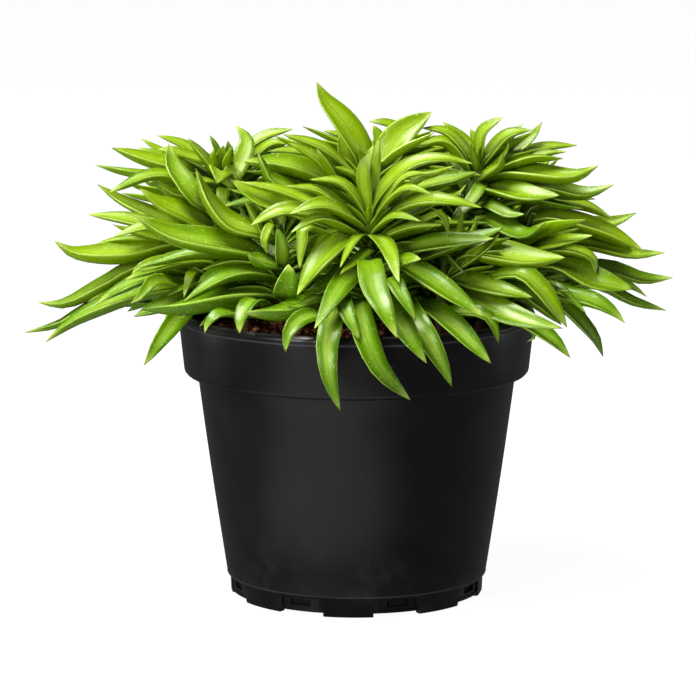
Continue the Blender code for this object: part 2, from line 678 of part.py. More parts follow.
def seen_leaf(node, spine, row, shift):
    """A leaf from its row, with its tip's depth shifted."""
    width, depth, *marks = row
    marks = marks[::-1]
    top = spine[-1].z
    near_x, near_z = marks[0][:2]
    start = seen(near_x, near_z, (spine[-1].y + depth) / 2)
    reach = math.hypot(start.x - spine[-1].x, start.y - spine[-1].y)
    height = min(top - 1.5, max(SOIL_TOP + 6, start.z - 0.35 * reach - 1.5))
    root = on_spine(spine, height)
    tip_depth = depth + shift
    walked = [math.hypot(near_x - root.x, near_z - root.z) + 0.01]
    for a, b in zip(marks, marks[1:]):
        walked.append(walked[-1] + math.hypot(b[0] - a[0], b[1] - a[1]))
    control = [root]
    for (x, z, *own_depth), length in zip(marks, walked):
        out = 1 - (1 - length / walked[-1]) ** 1.5
        at_depth = own_depth[0] + shift if own_depth else root.y + (tip_depth - root.y) * out
        control.append(seen(x, z, at_depth))
    facing = (UP * 0.65 + FRONT * 0.7).normalized()
    # the widest place is a little inside the part that is seen
    steps = [(b - a).length for a, b in zip(control, control[1:])]
    hidden = steps[0] / sum(steps)
    peak = min(hidden + (1 - hidden) * SEEN_PEAK, MOST_PEAK)
    return Leaf(node, control, width / SEEN_SHARE, facing, peak)


def in_outline(place):
    """Whether a place is seen within the plant's outline, or is hidden behind the pot."""
    reach = (VIEW_DISTANCE + place.y) / VIEW_DISTANCE
    x = place.x / reach
    z = VIEW_HEIGHT + (place.z - VIEW_HEIGHT) / reach
    if place.y > 0 and abs(x) < BODY_TOP_RADIUS and z < RIM_TOP:
        return True
    inside = False
    for (x0, z0), (x1, z1) in zip(SEEN_OUTLINE, SEEN_OUTLINE[1:] + SEEN_OUTLINE[:1]):
        if (z0 > z) != (z1 > z) and x < x0 + (x1 - x0) * (z - z0) / (z1 - z0):
            inside = not inside
    return inside


def rule_leaf(node, spine, plan, share_of_length, lift, turn):
    """A leaf that grows by rule: higher ones are short and steep, lower ones long and hanging."""
    level, bearing, length, width, sway = plan
    length *= share_of_length
    crown = spine[-1]
    root = on_spine(spine, max(crown.z - 2 - 26 * level, SOIL_TOP + 6))
    bearing += math.radians(turn)
    elevation = math.radians(68 - 62 * level + lift)
    bend = math.radians(-(40 + 34 * level)) - math.radians(lift) * 0.5
    steps = 6
    place = root.copy()
    control = [root]
    for k in range(steps):
        share = (k + 0.5) / steps
        angle = elevation + bend * share + math.radians(16) * max(share - 0.75, 0) * 4
        heading = bearing + sway * share
        place = place + length / steps * Vector((
            math.cos(heading) * math.cos(angle), math.sin(heading) * math.cos(angle), math.sin(angle)))
        control.append(place)
    outward = Vector((root.x, root.y + 12, 0))
    facing = (UP * 0.75 + outward.normalized() * 0.6).normalized()
    return Leaf(node, control, width, facing, RULE_PEAK)


def place_rule_leaves(node, spine, rule, placed, rng):
    """Adds the leaves that a stem grows by rule, where there is room for them."""
    count, first, last, least = rule
    for i in range(count):
        level = least + (1 - least) * (i + 0.6) / count
        if last - first >= 360:
            bearing = i * GOLDEN_ANGLE
        else:
            bearing = math.radians(first + (last - first) * ((i * 0.618) % 1))
        plan = (
            level,
            bearing + rng.uniform(-0.12, 0.12),
            (26 + 34 * level ** 0.6) * rng.uniform(0.88, 1.12),
            (4.2 + 2.4 * level ** 0.7) * rng.uniform(0.9, 1.15),
            rng.uniform(-0.35, 0.35),
        )
        tries = [(share, lift, turn) for share in LENGTH_TRIES for lift in RISE_TRIES for turn in TURN_TRIES]
        choices = (rule_leaf(node, spine, plan, *one) for one in tries)
        choices = (leaf for leaf in choices if all(in_outline(place) for place in leaf.spine))
        chosen = next((leaf for leaf in choices if leaf.clear_of(placed, True)), None)
        if chosen:
            placed.append(chosen)


def place_seen_leaves(node, spine, rows, placed):
    """Adds a stem's own leaves, each at the depth nearest its own where it is clear."""
    for row in rows:
        choices = [seen_leaf(node, spine, row, shift) for shift in DEPTH_TRIES]
        chosen = next((leaf for leaf in choices if leaf.clear_of(placed, True)), None)
        if not chosen:
            chosen = next((leaf for leaf in choices if leaf.clear_of(placed, False)), None)
        if chosen:
            placed.append(chosen)


def loose_mesh(name, points, faces):
    """An object from points and faces, with no material."""
    bm = bmesh.new()
    verts = [bm.verts.new(point) for point in points]
    for face in faces:
        bm.faces.new([verts[i] for i in face])
    return add_object(name, bm, None)


def keep_largest_body(mesh):
    """Drops loose scraps and sealed hollows that a union leaves, and tells whether the rest is closed."""
    bm = bmesh.new()
    bm.from_mesh(mesh)
    bmesh.ops.dissolve_degenerate(bm, edges=bm.edges, dist=WELD * MM)
    bmesh.ops.dissolve_verts(bm, verts=[vert for vert in bm.verts if len(vert.link_edges) == 2])
    bmesh.ops.triangulate(bm, faces=bm.faces)
    left = set(bm.faces)
    bodies = []
    while left:
        body = [left.pop()]
        for face in body:
            for other in {other for edge in face.edges for other in edge.link_faces} & left:
                left.remove(other)
                body.append(other)
        bodies.append(body)
    bodies.sort(key=len)
    for body in bodies[:-1]:
        bmesh.ops.delete(bm, geom=body, context="FACES")
    closed = all(edge.is_contiguous for edge in bm.edges)
    bm.to_mesh(mesh)
    bm.free()
    return closed


def united(made, leaves, solver, widen):
    """The mesh of a stem united with its leaves, and whether it is one closed body."""
    pieces = bpy.data.collections.new("leaves")
    bpy.context.scene.collection.children.link(pieces)
    for leaf in leaves:
        piece = loose_mesh("leaf", *leaf_parts(leaf.spine, leaf.width * widen, leaf.peak, leaf.facing))
        bpy.context.scene.collection.objects.unlink(piece)
        pieces.objects.link(piece)
    union = made.modifiers.new("fuse", "BOOLEAN")
    union.operation = "UNION"
    union.operand_type = "COLLECTION"
    union.collection = pieces
    union.solver = solver
    graph = bpy.context.evaluated_depsgraph_get()
    shape = bpy.data.meshes.new_from_object(made.evaluated_get(graph))
    made.modifiers.clear()
    for piece in list(pieces.objects):
        bpy.data.objects.remove(piece)
    bpy.data.collections.remove(pieces)
    return shape, keep_largest_body(shape)


def fuse(name, stem, leaves, look):
    """One body from a stem and its leaves: where a union isn't closed, the leaves are made a hair wider."""
    made = loose_mesh(name, *stem)
    made.data.materials.append(look)
    for widen in (1, 1.01, 1.02, 1.03, 0.99, 1.04, 0.98):
        for solver in ("EXACT", "MANIFOLD"):
            shape, closed = united(made, leaves, solver, widen)
            if closed:
                break
        if closed:
            break
    made.data = shape
    shape.shade_smooth()
    shape.set_sharp_from_angle(angle=math.radians(40))


def build_plant(pot, soil):
    """Every leafy stem: its own leaves first, then the ones by rule, all kept clear of each other."""
    spines = {node: stem_spine(stem) for node, stem in STEMS.items()}
    stems = {node: stem_parts(spine) for node, spine in spines.items()}
    placed = [mesh_obstacle("pot", pot), mesh_obstacle("soil", soil)]
    placed += [Obstacle(node, *parts) for node, parts in stems.items()]
    solid = len(placed)
    for node, stem in STEMS.items():
        place_seen_leaves(node, spines[node], stem["leaves"], placed)
    rng = random.Random(SEED)
    for node, stem in STEMS.items():
        place_rule_leaves(node, spines[node], stem["rule"], placed, rng)
    look = material("leaf_green", (0.19, 0.42, 0.03), 0.4)
    for node in STEMS:
        fuse(node, stems[node], [leaf for leaf in placed[solid:] if leaf.node == node], look)


clear_scene()
build_plant(build_pot(), build_soil())
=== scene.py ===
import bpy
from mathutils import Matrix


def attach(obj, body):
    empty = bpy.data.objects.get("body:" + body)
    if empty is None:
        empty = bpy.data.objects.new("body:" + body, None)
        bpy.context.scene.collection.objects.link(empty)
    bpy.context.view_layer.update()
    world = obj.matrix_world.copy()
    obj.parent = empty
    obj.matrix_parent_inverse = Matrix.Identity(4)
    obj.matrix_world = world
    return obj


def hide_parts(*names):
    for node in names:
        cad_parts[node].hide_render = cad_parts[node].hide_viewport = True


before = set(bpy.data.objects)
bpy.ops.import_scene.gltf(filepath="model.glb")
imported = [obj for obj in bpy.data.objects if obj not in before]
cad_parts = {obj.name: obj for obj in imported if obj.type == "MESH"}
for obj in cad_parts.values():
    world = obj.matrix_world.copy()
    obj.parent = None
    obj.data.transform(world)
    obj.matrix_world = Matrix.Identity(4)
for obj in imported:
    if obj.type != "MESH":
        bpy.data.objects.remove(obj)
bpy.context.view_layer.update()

import math
import random

import bmesh
import bpy
from mathutils import Matrix, Vector, noise
from mathutils.bvhtree import BVHTree

mm = 0.001
upward = Vector((0, 0, 1))
frontward = Vector((0, -1, 0))


# node graphs, for materials and for geometry alike
class Wire:
    # a socket that can be used in sums
    def __init__(self, graph, socket):
        self.graph = graph
        self.socket = socket

    def out(self, name):
        found = [s for s in self.socket.node.outputs if s.enabled and s.name == name]
        return Wire(self.graph, found[0])

    def __add__(self, other):
        return self.graph.sum("ADD", self, other)

    def __radd__(self, other):
        return self.graph.sum("ADD", other, self)

    def __sub__(self, other):
        return self.graph.sum("SUBTRACT", self, other)

    def __rsub__(self, other):
        return self.graph.sum("SUBTRACT", other, self)

    def __mul__(self, other):
        return self.graph.sum("MULTIPLY", self, other)

    def __rmul__(self, other):
        return self.graph.sum("MULTIPLY", other, self)

    def __truediv__(self, other):
        return self.graph.sum("DIVIDE", self, other)

    def __pow__(self, other):
        return self.graph.sum("POWER", self, other)

    def __abs__(self):
        return self.graph.add("ShaderNodeMath", {"operation": "ABSOLUTE"}, {0: self})

    def upTo(self, other):
        return self.graph.sum("MINIMUM", self, other)

    def atLeast(self, other):
        return self.graph.sum("MAXIMUM", self, other)

    def ease(self, low, high):
        # 0 below low, 1 above high and smooth between them, or the other way round where low is the higher
        return self.graph.add("ShaderNodeMapRange", {"interpolation_type": "SMOOTHSTEP"}, {
            0: self, 1: min(low, high), 2: max(low, high), 3: float(low > high), 4: float(low < high)})


class Graph:
    def __init__(self, tree):
        self.tree = tree

    def add(self, kind, settings=None, values=None):
        # any node: its settings first, then the values or wires of its sockets, by name or number
        node = self.tree.nodes.new(kind)
        for name, value in (settings or {}).items():
            setattr(node, name, value)
        for key, value in (values or {}).items():
            socket = node.inputs[key] if isinstance(key, int) else next(
                s for s in node.inputs if s.enabled and s.name == key)
            for one in value if isinstance(value, list) else [value]:
                if isinstance(one, Wire):
                    self.tree.links.new(one.socket, socket)
                else:
                    socket.default_value = one
        return Wire(self, next((s for s in node.outputs if s.enabled), None))

    def sum(self, operation, first, second):
        vectors = [one.socket.type == "VECTOR" if isinstance(one, Wire) else isinstance(one, tuple)
                   for one in (first, second)]
        if not any(vectors):
            return self.add("ShaderNodeMath", {"operation": operation}, {0: first, 1: second})
        if operation == "MULTIPLY" and not all(vectors):
            vector, number = (first, second) if vectors[0] else (second, first)
            return self.add("ShaderNodeVectorMath", {"operation": "SCALE"}, {0: vector, "Scale": number})
        return self.add("ShaderNodeVectorMath", {"operation": operation}, {0: first, 1: second})

    def mix(self, share, first, second):
        return self.add("ShaderNodeMix", {"data_type": "RGBA"}, {0: share, 6: first, 7: second}).out("Result")

    def parts(self, vector):
        made = self.add("ShaderNodeSeparateXYZ", None, {0: vector})
        return made.out("X"), made.out("Y"), made.out("Z")

    def vector(self, x, y, z):
        return self.add("ShaderNodeCombineXYZ", None, {0: x, 1: y, 2: z})

    def clouds(self, place, scale, detail=2.0, roughness=0.5):
        return self.add("ShaderNodeTexNoise", None, {
            "Vector": place, "Scale": scale, "Detail": detail, "Roughness": roughness})

    def drift(self, place, scale, detail):
        # a smooth random way at every place, with parts between -0.5 and 0.5
        colour = self.clouds(place, scale, detail).out("Color")
        return self.add("ShaderNodeVectorMath", {"operation": "SUBTRACT"}, {0: colour, 1: (0.5, 0.5, 0.5)})

    def bump(self, height, strength, distance):
        return self.add("ShaderNodeBump", None, {"Strength": strength, "Distance": distance, "Height": height})

    def marked(self, name, output="Fac"):
        # a mesh's own attribute, read in a material
        return self.add("ShaderNodeAttribute", {"attribute_name": name}).out(output)

    def attribute(self, name, kind="FLOAT"):
        # the same in a tree for geometry
        return self.add("GeometryNodeInputNamedAttribute", {"data_type": kind}, {"Name": name})

    def store(self, geometry, name, value, kind="FLOAT"):
        return self.add("GeometryNodeStoreNamedAttribute", {"data_type": kind, "domain": "POINT"}, {
            "Geometry": geometry, "Name": name, "Value": value})

    def chance(self, low, high, seed, kind="FLOAT", each=None):
        # a random value for each element, or for each value of a wire that tells them apart
        first, second = (0, 1) if kind == "FLOAT_VECTOR" else (2, 3)
        values = {first: low, second: high, "Seed": seed}
        if each:
            values["ID"] = each
        return self.add("FunctionNodeRandomValue", {"data_type": kind}, values)


def geometryTree(name, inputs):
    # an empty tree with named inputs for its sizes, and the wires that bring them in
    tree = bpy.data.node_groups.new(name, "GeometryNodeTree")
    tree.is_modifier = True
    tree.interface.new_socket("Geometry", in_out="OUTPUT", socket_type="NodeSocketGeometry")
    tree.interface.new_socket("Geometry", in_out="INPUT", socket_type="NodeSocketGeometry")
    for label, value in inputs.items():
        kind = "NodeSocketInt" if isinstance(value, int) else "NodeSocketFloat"
        tree.interface.new_socket(label, in_out="INPUT", socket_type=kind).default_value = value
    graph = Graph(tree)
    entry = graph.add("NodeGroupInput")
    return graph, {label: entry.out(label) for label in ("Geometry", *inputs)}


def endTree(graph, geometry, looks):
    # the end of every tree: real meshes with their materials, as (material, selection)
    made = graph.add("GeometryNodeRealizeInstances", None, {"Geometry": geometry})
    for look, chosen in looks:
        made = graph.add("GeometryNodeSetMaterial", None, {"Geometry": made, "Selection": chosen, "Material": look})
    graph.add("NodeGroupOutput", None, {"Geometry": made})
    return graph.tree


def grow(source, tree, sizes):
    # runs a tree on an object and keeps the result as the object's plain mesh
    modifier = source.modifiers.new(tree.name, "NODES")
    modifier.node_group = tree
    for item in tree.interface.items_tree:
        if item.in_out == "INPUT" and item.name in sizes:
            modifier[item.identifier] = sizes[item.name]
    return settle(source)


def settle(source):
    # the object's modifiers worked into its mesh
    depsgraph = bpy.context.evaluated_depsgraph_get()
    evaluated = source.evaluated_get(depsgraph)
    mesh = bpy.data.meshes.new_from_object(evaluated, preserve_all_data_layers=True, depsgraph=depsgraph)
    source.modifiers.clear()
    source.data = mesh
    return source


def intoScene(made):
    bpy.context.scene.collection.objects.link(made)
    return made


def addObject(name, bm, look=None, smooth=40):
    # an object from a bmesh in millimetres
    bmesh.ops.scale(bm, vec=(mm, mm, mm), verts=bm.verts)
    bmesh.ops.recalc_face_normals(bm, faces=bm.faces)
    mesh = bpy.data.meshes.new(name)
    bm.to_mesh(mesh)
    bm.free()
    mesh.shade_smooth()
    mesh.set_sharp_from_angle(angle=math.radians(smooth))
    if look:
        mesh.materials.append(look)
    return intoScene(bpy.data.objects.new(name, mesh))


def newLook(name):
    # a material whose Principled shader is still to be wired
    look = bpy.data.materials.new(name)
    look.use_nodes = True
    return look, Graph(look.node_tree), look.node_tree.nodes["Principled BSDF"]


def wire(graph, shader, values):
    for name, value in values.items():
        if isinstance(value, Wire):
            graph.tree.links.new(value.socket, shader.inputs[name])
        else:
            shader.inputs[name].default_value = value


# camera, floor and light
view = {
    "distance": 1261.5,   # from the pot's axis, mm
    "height": 298.9,
    "pitch": 9.71,        # degrees below level
    "lens": 196.7,
    "axisColumn": 356.6,  # where the pot's axis stands in the 696 pixel picture
    "picture": 696,
}


def addCamera():
    data = bpy.data.cameras.new("camera")
    data.lens = view["lens"]
    data.sensor_width = 36
    data.shift_x = (view["picture"] / 2 - view["axisColumn"]) / view["picture"]
    data.clip_start = 0.05
    data.clip_end = 50
    camera = intoScene(bpy.data.objects.new("camera", data))
    camera.location = (0, -view["distance"] * mm, view["height"] * mm)
    camera.rotation_euler = (math.radians(90 - view["pitch"]), 0, 0)
    bpy.context.scene.camera = camera


studio = {
    "air": (0.95, 0.97, 1.0),
    "airStrength": 0.13,
    "floorReach": 12.0,
    "floorGlow": 0.96,
    # name: place, size, power, colour; all in metres and watts, and aimed at the plant
    "lamps": {
        "overhead": ((-0.35, -0.2, 1.2), (0.55, 0.55), 33.5, (1, 0.99, 0.96)),
        "frontLeft": ((-0.85, -1.25, 0.55), (0.5, 0.6), 20, (1, 0.99, 0.97)),
        "stripLeft": ((-1.0, 0.25, 0.3), (0.2, 0.9), 1.5, (1, 1, 1)),
        "stripRight": ((1.0, 0.3, 0.3), (0.2, 0.9), 1.5, (1, 1, 1)),
    },
    # a card that lies in front of the pot and is seen only in its gloss
    "card": {"from": 0.075, "to": 0.42, "azimuth": -22, "width": 0.19, "power": 0.15},
    "aim": (0, 0, 0.11),
}


def addLamp(name, size, power, colour=(1, 1, 1)):
    data = bpy.data.lights.new(name, "AREA")
    data.shape = "RECTANGLE"
    data.size, data.size_y = size
    data.energy = power
    data.color = colour
    return intoScene(bpy.data.objects.new(name, data))


def addStudio():
    world = bpy.data.worlds.new("studioAir")
    world.use_nodes = True
    backing = world.node_tree.nodes["Background"]
    backing.inputs["Color"].default_value = (*studio["air"], 1)
    backing.inputs["Strength"].default_value = studio["airStrength"]
    bpy.context.scene.world = world

    for name, (place, size, power, colour) in studio["lamps"].items():
        lamp = addLamp(name, size, power, colour)
        lamp.location = place
        lamp.rotation_euler = (Vector(studio["aim"]) - Vector(place)).to_track_quat("-Z", "Y").to_euler()

    card = studio["card"]
    turn = math.radians(card["azimuth"])
    middle = (card["to"] + card["from"]) / 2
    lamp = addLamp("card", (card["width"], card["to"] - card["from"]), card["power"])
    lamp.location = (math.sin(turn) * middle, -math.cos(turn) * middle, 0.002)
    lamp.rotation_euler = (math.pi, 0, turn)
    lamp.visible_camera = False
    lamp.visible_diffuse = False

    look, graph, shader = newLook("paleFloor")
    wire(graph, shader, {
        "Base Color": (0.1, 0.1, 0.1, 1), "Roughness": 0.9, "Specular IOR Level": 0.0,
        "Emission Color": (1, 1, 1, 1), "Emission Strength": studio["floorGlow"],
    })
    bm = bmesh.new()
    bmesh.ops.create_circle(bm, cap_ends=True, segments=64, radius=studio["floorReach"] / mm)
    floor = addObject("floor", bm, look)
    floor.visible_glossy = False


addCamera()
addStudio()
bpy.context.scene.view_settings.view_transform = "Standard"
print("camera, floor and light are set")


# the pot
pot = {
    "sides": 144,
    "rimRadius": 60.0,
    "rimTop": 96.5,
    "bandLow": 75.5,
    "bodyTopRadius": 53.4,
    "belly": 0.25,
    "footRadius": 42.6,
    "footLine": 6.6,
    "floor": 3.0,
    "underside": 1.0,
    "notchTop": 1.5,
    "feet": 8,
    "footTurn": -3.75,      # degrees
    "notchHalf": 11.25,
    "recessHalf": 9.0,
    "slotHalf": 5.0,
    "drainRadius": 3.5,
    "drainReach": 22.0,
    "drains": 5,
    "edge": 0.22,           # the rounding of its edges
}
# the inside wall as (radius, height), from the floor up to the lip
potInside = (
    (41.3, 3.0), (42.6, 8.2), (52.1, 74.0), (56.2, 77.6), (56.8, 78.6), (57.1, 95.2), (57.3, 96.0), (57.8, 96.4),
)


def turned(profile, sides):
    # a solid turned about Z from (radius, height) pairs that start and end on the axis
    bm = bmesh.new()
    rings = []
    for radius, height in profile:
        if radius == 0:
            rings.append([bm.verts.new((0, 0, height))])
            continue
        ring = []
        for i in range(sides):
            angle = 2 * math.pi * i / sides
            ring.append(bm.verts.new((radius * math.cos(angle), radius * math.sin(angle), height)))
        rings.append(ring)
    for low, high in zip(rings, rings[1:]):
        for i in range(sides):
            j = (i + 1) % sides
            corners = [low[i % len(low)], low[j % len(low)], high[j % len(high)], high[i % len(high)]]
            bm.faces.new(list(dict.fromkeys(corners)))
    return bm


def addSector(bm, radii, heights, middle, half, steps=8):
    # a closed block between two radii and two heights, bent along an arc about Z
    columns = []
    for i in range(steps + 1):
        angle = middle - half + 2 * half * i / steps
        way = Vector((math.cos(angle), math.sin(angle), 0))
        corners = ((0, 0), (1, 0), (1, 1), (0, 1))
        columns.append([bm.verts.new(way * radii[r] + upward * heights[h]) for r, h in corners])
    for a, b in zip(columns, columns[1:]):
        for k in range(4):
            bm.faces.new((a[k], a[(k + 1) % 4], b[(k + 1) % 4], b[k]))
    bm.faces.new(columns[0][::-1])
    bm.faces.new(columns[-1])


def cutAway(target, bm):
    # takes a cutter's shape out of the target at once
    cutter = addObject("cutter", bm)
    cut = target.modifiers.new("cut", "BOOLEAN")
    cut.object = cutter
    cut.operation = "DIFFERENCE"
    settle(target)
    bpy.data.objects.remove(cutter)


def potLook():
    look, graph, shader = newLook("blackPlastic")
    place = graph.add("ShaderNodeTexCoord").out("Object")
    x, y, z = graph.parts(place)
    grain = graph.clouds(place, 1500.0, 2.0, 0.6)
    mottle = graph.clouds(place, 55.0, 4.0, 0.62)
    # moulding draws faint lines up the wall
    drawn = graph.clouds(place * (420.0, 420.0, 14.0), 1.0, 3.0)
    rubbed = graph.clouds(place, 210.0, 5.0, 0.7)
    scuffs = rubbed.ease(0.62, 0.78) * z.ease(0.07, 0.097)
    dust = mottle.ease(0.5, 0.8) * (1 - z.ease(0.0, 0.035))
    # painted highlights: the lip, its bead and the ring above the foot are painted paler where the light catches their
    # edges
    paintedLipHighlight = z.ease(0.0958, 0.0963) + z.ease(0.0931, 0.0935) * z.ease(0.0942, 0.0938) * 0.7
    paintedRingHighlight = z.ease(0.0066, 0.0069) * z.ease(0.0076, 0.0073) * 0.45
    colour = graph.mix(mottle.ease(0.3, 0.7), (0.0014, 0.0014, 0.0015, 1), (0.0026, 0.0026, 0.0027, 1))
    colour = graph.mix(scuffs * 0.5, colour, (0.05, 0.05, 0.05, 1))
    colour = graph.mix(dust * 0.35, colour, (0.05, 0.043, 0.035, 1))
    # mixes in the painted highlights of the lip, its bead and the foot ring
    colour = graph.mix((paintedLipHighlight + paintedRingHighlight) * (0.2 + mottle * 0.6), colour, (0.075, 0.068, 0.075, 1))
    roughness = 0.28 + mottle * 0.1 + grain * 0.08 + scuffs * 0.1
    bump = graph.bump(grain * 0.6 + drawn * 0.4 + rubbed * 0.5, 0.16, 0.0002)
    wire(graph, shader, {"Base Color": colour, "Roughness": roughness, "Normal": bump, "Specular IOR Level": 0.35})
    return look


def makePot():
    r, top, band = pot["rimRadius"], pot["rimTop"], pot["bandLow"]
    foot, line, under = pot["footRadius"], pot["footLine"], pot["underside"]
    outside = [
        (0, under), (foot - 3.8, under), (foot - 3.25, 0.15), (foot - 3.0, 0), (foot - 0.9, 0), (foot - 0.3, 0.2),
        (foot, 0.8), (foot + 0.25, line - 0.5), (foot + 0.45, line - 0.1), (foot + 1.15, line + 0.2),
        (foot + 1.35, line + 0.6), (foot + 1.3, line + 1.0),
    ]
    start, body = (foot + 1.3, line + 1.0), pot["bodyTopRadius"]
    bodyTop = band - 1.2
    for k in range(1, 9):  # the body's taper
        t = k / 9
        belly = pot["belly"] * math.sin(math.pi * t)
        outside.append((start[0] + (body - start[0]) * t + belly, start[1] + (bodyTop - start[1]) * t))
    outside += [
        (body, bodyTop), (body + 0.25, band - 0.55), (body + 0.9, band - 0.2), (r - 3.6, band - 0.05),
        (r - 2.7, band + 0.2), (r - 2.15, band + 0.85), (r - 1.95, band + 1.7), (r - 1.5, band + 6),
        (r - 0.75, band + 13), (r - 0.3, top - 3.3), (r - 0.32, top - 3.0), (r - 0.02, top - 2.6), (r, top - 1.5),
        (r - 0.25, top - 0.85), (r - 0.75, top - 0.3), (r - 1.25, top - 0.06), (r - 1.7, top),
    ]
    made = addObject("potBody", turned(outside + list(potInside[::-1]) + [(0, pot["floor"])], pot["sides"]))
    step = 2 * math.pi / pot["feet"]
    middles = [-math.pi / 2 + math.radians(pot["footTurn"]) + (i + 0.5) * step for i in range(pot["feet"])]
    for radii, heights, half in (
        ((foot - 4.4, foot + 2), (-1, pot["notchTop"]), pot["notchHalf"]),
        ((foot - 0.5, foot + 0.9), (2.2, line - 0.6), pot["recessHalf"]),
        ((foot - 4, foot + 1), (3.3, 5.4), pot["slotHalf"]),
    ):
        bm = bmesh.new()
        for middle in middles:
            addSector(bm, radii, heights, middle, math.radians(half))
        cutAway(made, bm)
    bm = bmesh.new()
    hole, reach = pot["drainRadius"], pot["drainReach"]
    for i in range(pot["drains"]):
        angle = 2 * math.pi * i / pot["drains"]
        place = Matrix.Translation((reach * math.cos(angle), reach * math.sin(angle), pot["floor"]))
        bmesh.ops.create_cone(bm, cap_ends=True, segments=24, radius1=hole, radius2=hole, depth=8, matrix=place)
    cutAway(made, bm)
    made.data.materials.clear()
    made.data.materials.append(potLook())
    bevel = made.modifiers.new("edges", "BEVEL")
    bevel.width = pot["edge"] * mm
    bevel.segments = 2
    bevel.limit_method = "ANGLE"
    bevel.angle_limit = math.radians(50)
    settle(made)
    made.data.shade_smooth()
    made.data.set_sharp_from_angle(angle=math.radians(38))
    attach(made, "root")
    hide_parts("pot")
    print("pot:", len(made.data.polygons), "faces")


makePot()


# the soil
soil = {
    "sides": 96,
    "top": 91.0,
    "edgeDrop": 2.0,
    "relief": 0.8,
    "gap": 0.3,
    "density": 260000.0,    # crumbs a square metre
    "least": 0.00035,       # radius of a crumb
    "most": 0.0014,
    "seed": 11,
}


def soilLook():
    look, graph, shader = newLook("peat")
    place = graph.add("ShaderNodeTexCoord").out("Object")
    tone = graph.marked("tone")
    coarse = graph.clouds(place, 260.0, 5.0, 0.7)
    fine = graph.clouds(place, 1900.0, 3.0, 0.7)
    warm = graph.mix(coarse.ease(0.3, 0.7), (0.1, 0.034, 0.012, 1), (0.5, 0.17, 0.055, 1))
    colour = graph.mix(tone.ease(0.45, 0.8) * 0.75, warm, (0.5, 0.2, 0.08, 1))
    colour = graph.mix(tone.ease(0.25, 0.05) * 0.7, colour, (0.02, 0.009, 0.005, 1))
    colour = graph.mix(tone.ease(0.93, 0.97) * 0.8, colour, (0.55, 0.38, 0.22, 1))
    colour = graph.mix(fine.ease(0.45, 0.75) * 0.35, colour, (0.4, 0.2, 0.1, 1))
    height = graph.parts(place)[2]
    colour = graph.mix(height.ease(0.07, 0.02), colour, (0.004, 0.003, 0.002, 1))  # painted shade: the soil is darker low in the pot, where little light reaches
    bump = graph.bump(coarse + fine * 0.5, 0.8, 0.0006)
    wire(graph, shader, {
        "Base Color": colour, "Roughness": 0.85 + fine * 0.15, "Normal": bump, "Specular IOR Level": 0.2})
    return look


def crumbTree(look, inputs):
    # scatters crumbs over the upward faces, most of them small
    graph, sizes = geometryTree("crumbs", inputs)
    draw = sizes["Seed"]
    facing = graph.parts(graph.add("GeometryNodeInputNormal"))[2]
    spread = graph.add("GeometryNodeDistributePointsOnFaces", None, {
        "Mesh": sizes["Geometry"], "Selection": facing.ease(0.2, 0.4), "Density": sizes["Density"], "Seed": draw})
    size = sizes["Least"] + (sizes["Most"] - sizes["Least"]) * graph.chance(0.0, 1.0, draw + 1) ** 3.0
    squash = graph.chance((0.6, 0.6, 0.45), (1.3, 1.1, 0.9), draw + 2, "FLOAT_VECTOR")
    turn = graph.chance((-3.1, -3.1, -3.1), (3.1, 3.1, 3.1), draw + 3, "FLOAT_VECTOR")
    toned = graph.store(spread, "tone", graph.chance(0.0, 1.0, draw + 4))
    crumb = graph.add("GeometryNodeMeshIcoSphere", None, {"Radius": 1.0, "Subdivisions": 1})
    laid = graph.add("GeometryNodeInstanceOnPoints", None, {
        "Points": toned, "Instance": crumb, "Rotation": turn, "Scale": squash * size})
    real = graph.add("GeometryNodeRealizeInstances", None, {"Geometry": laid})
    shift = graph.drift(graph.add("GeometryNodeInputPosition"), 900.0, 2.0) * (sizes["Most"] * 0.9)
    broken = graph.add("GeometryNodeSetPosition", None, {"Geometry": real, "Offset": shift})
    joined = graph.add("GeometryNodeJoinGeometry", None, {"Geometry": [sizes["Geometry"], broken]})
    return endTree(graph, joined, [(look, True)])


def makeSoil():
    flats = math.cos(math.pi / pot["sides"])
    side = [(radius * flats - soil["gap"], height + soil["gap"]) for radius, height in potInside[:6]]
    edge = side[-1][0]
    # the surface lies below the lip, as a low mound
    rings = [(reach, soil["top"] - soil["edgeDrop"] * (reach / edge) ** 2) for reach in
             [edge - 0.2, *[edge * (1 - k / 22) for k in range(1, 22)]]]
    shoulder = soil["top"] - soil["edgeDrop"]
    wall = [pair for pair in side if pair[1] < shoulder - 1] + [(edge, shoulder - 1)]
    bm = turned([(0, pot["floor"] + soil["gap"])] + wall + rings + [(0, soil["top"])], soil["sides"])
    for vert in bm.verts:
        if vert.co.z > shoulder - 0.5:
            vert.co.z += soil["relief"] * (noise.noise(vert.co * 0.11) + 0.7 * noise.noise(vert.co * 0.33))
    made = addObject("soilBody", bm, None, 60)
    crumbs = {"Density": soil["density"], "Least": soil["least"], "Most": soil["most"], "Seed": soil["seed"]}
    grow(made, crumbTree(soilLook(), crumbs), crumbs)
    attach(made, "root")
    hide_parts("soil")
    print("soil:", len(made.data.polygons), "faces")


makeSoil()


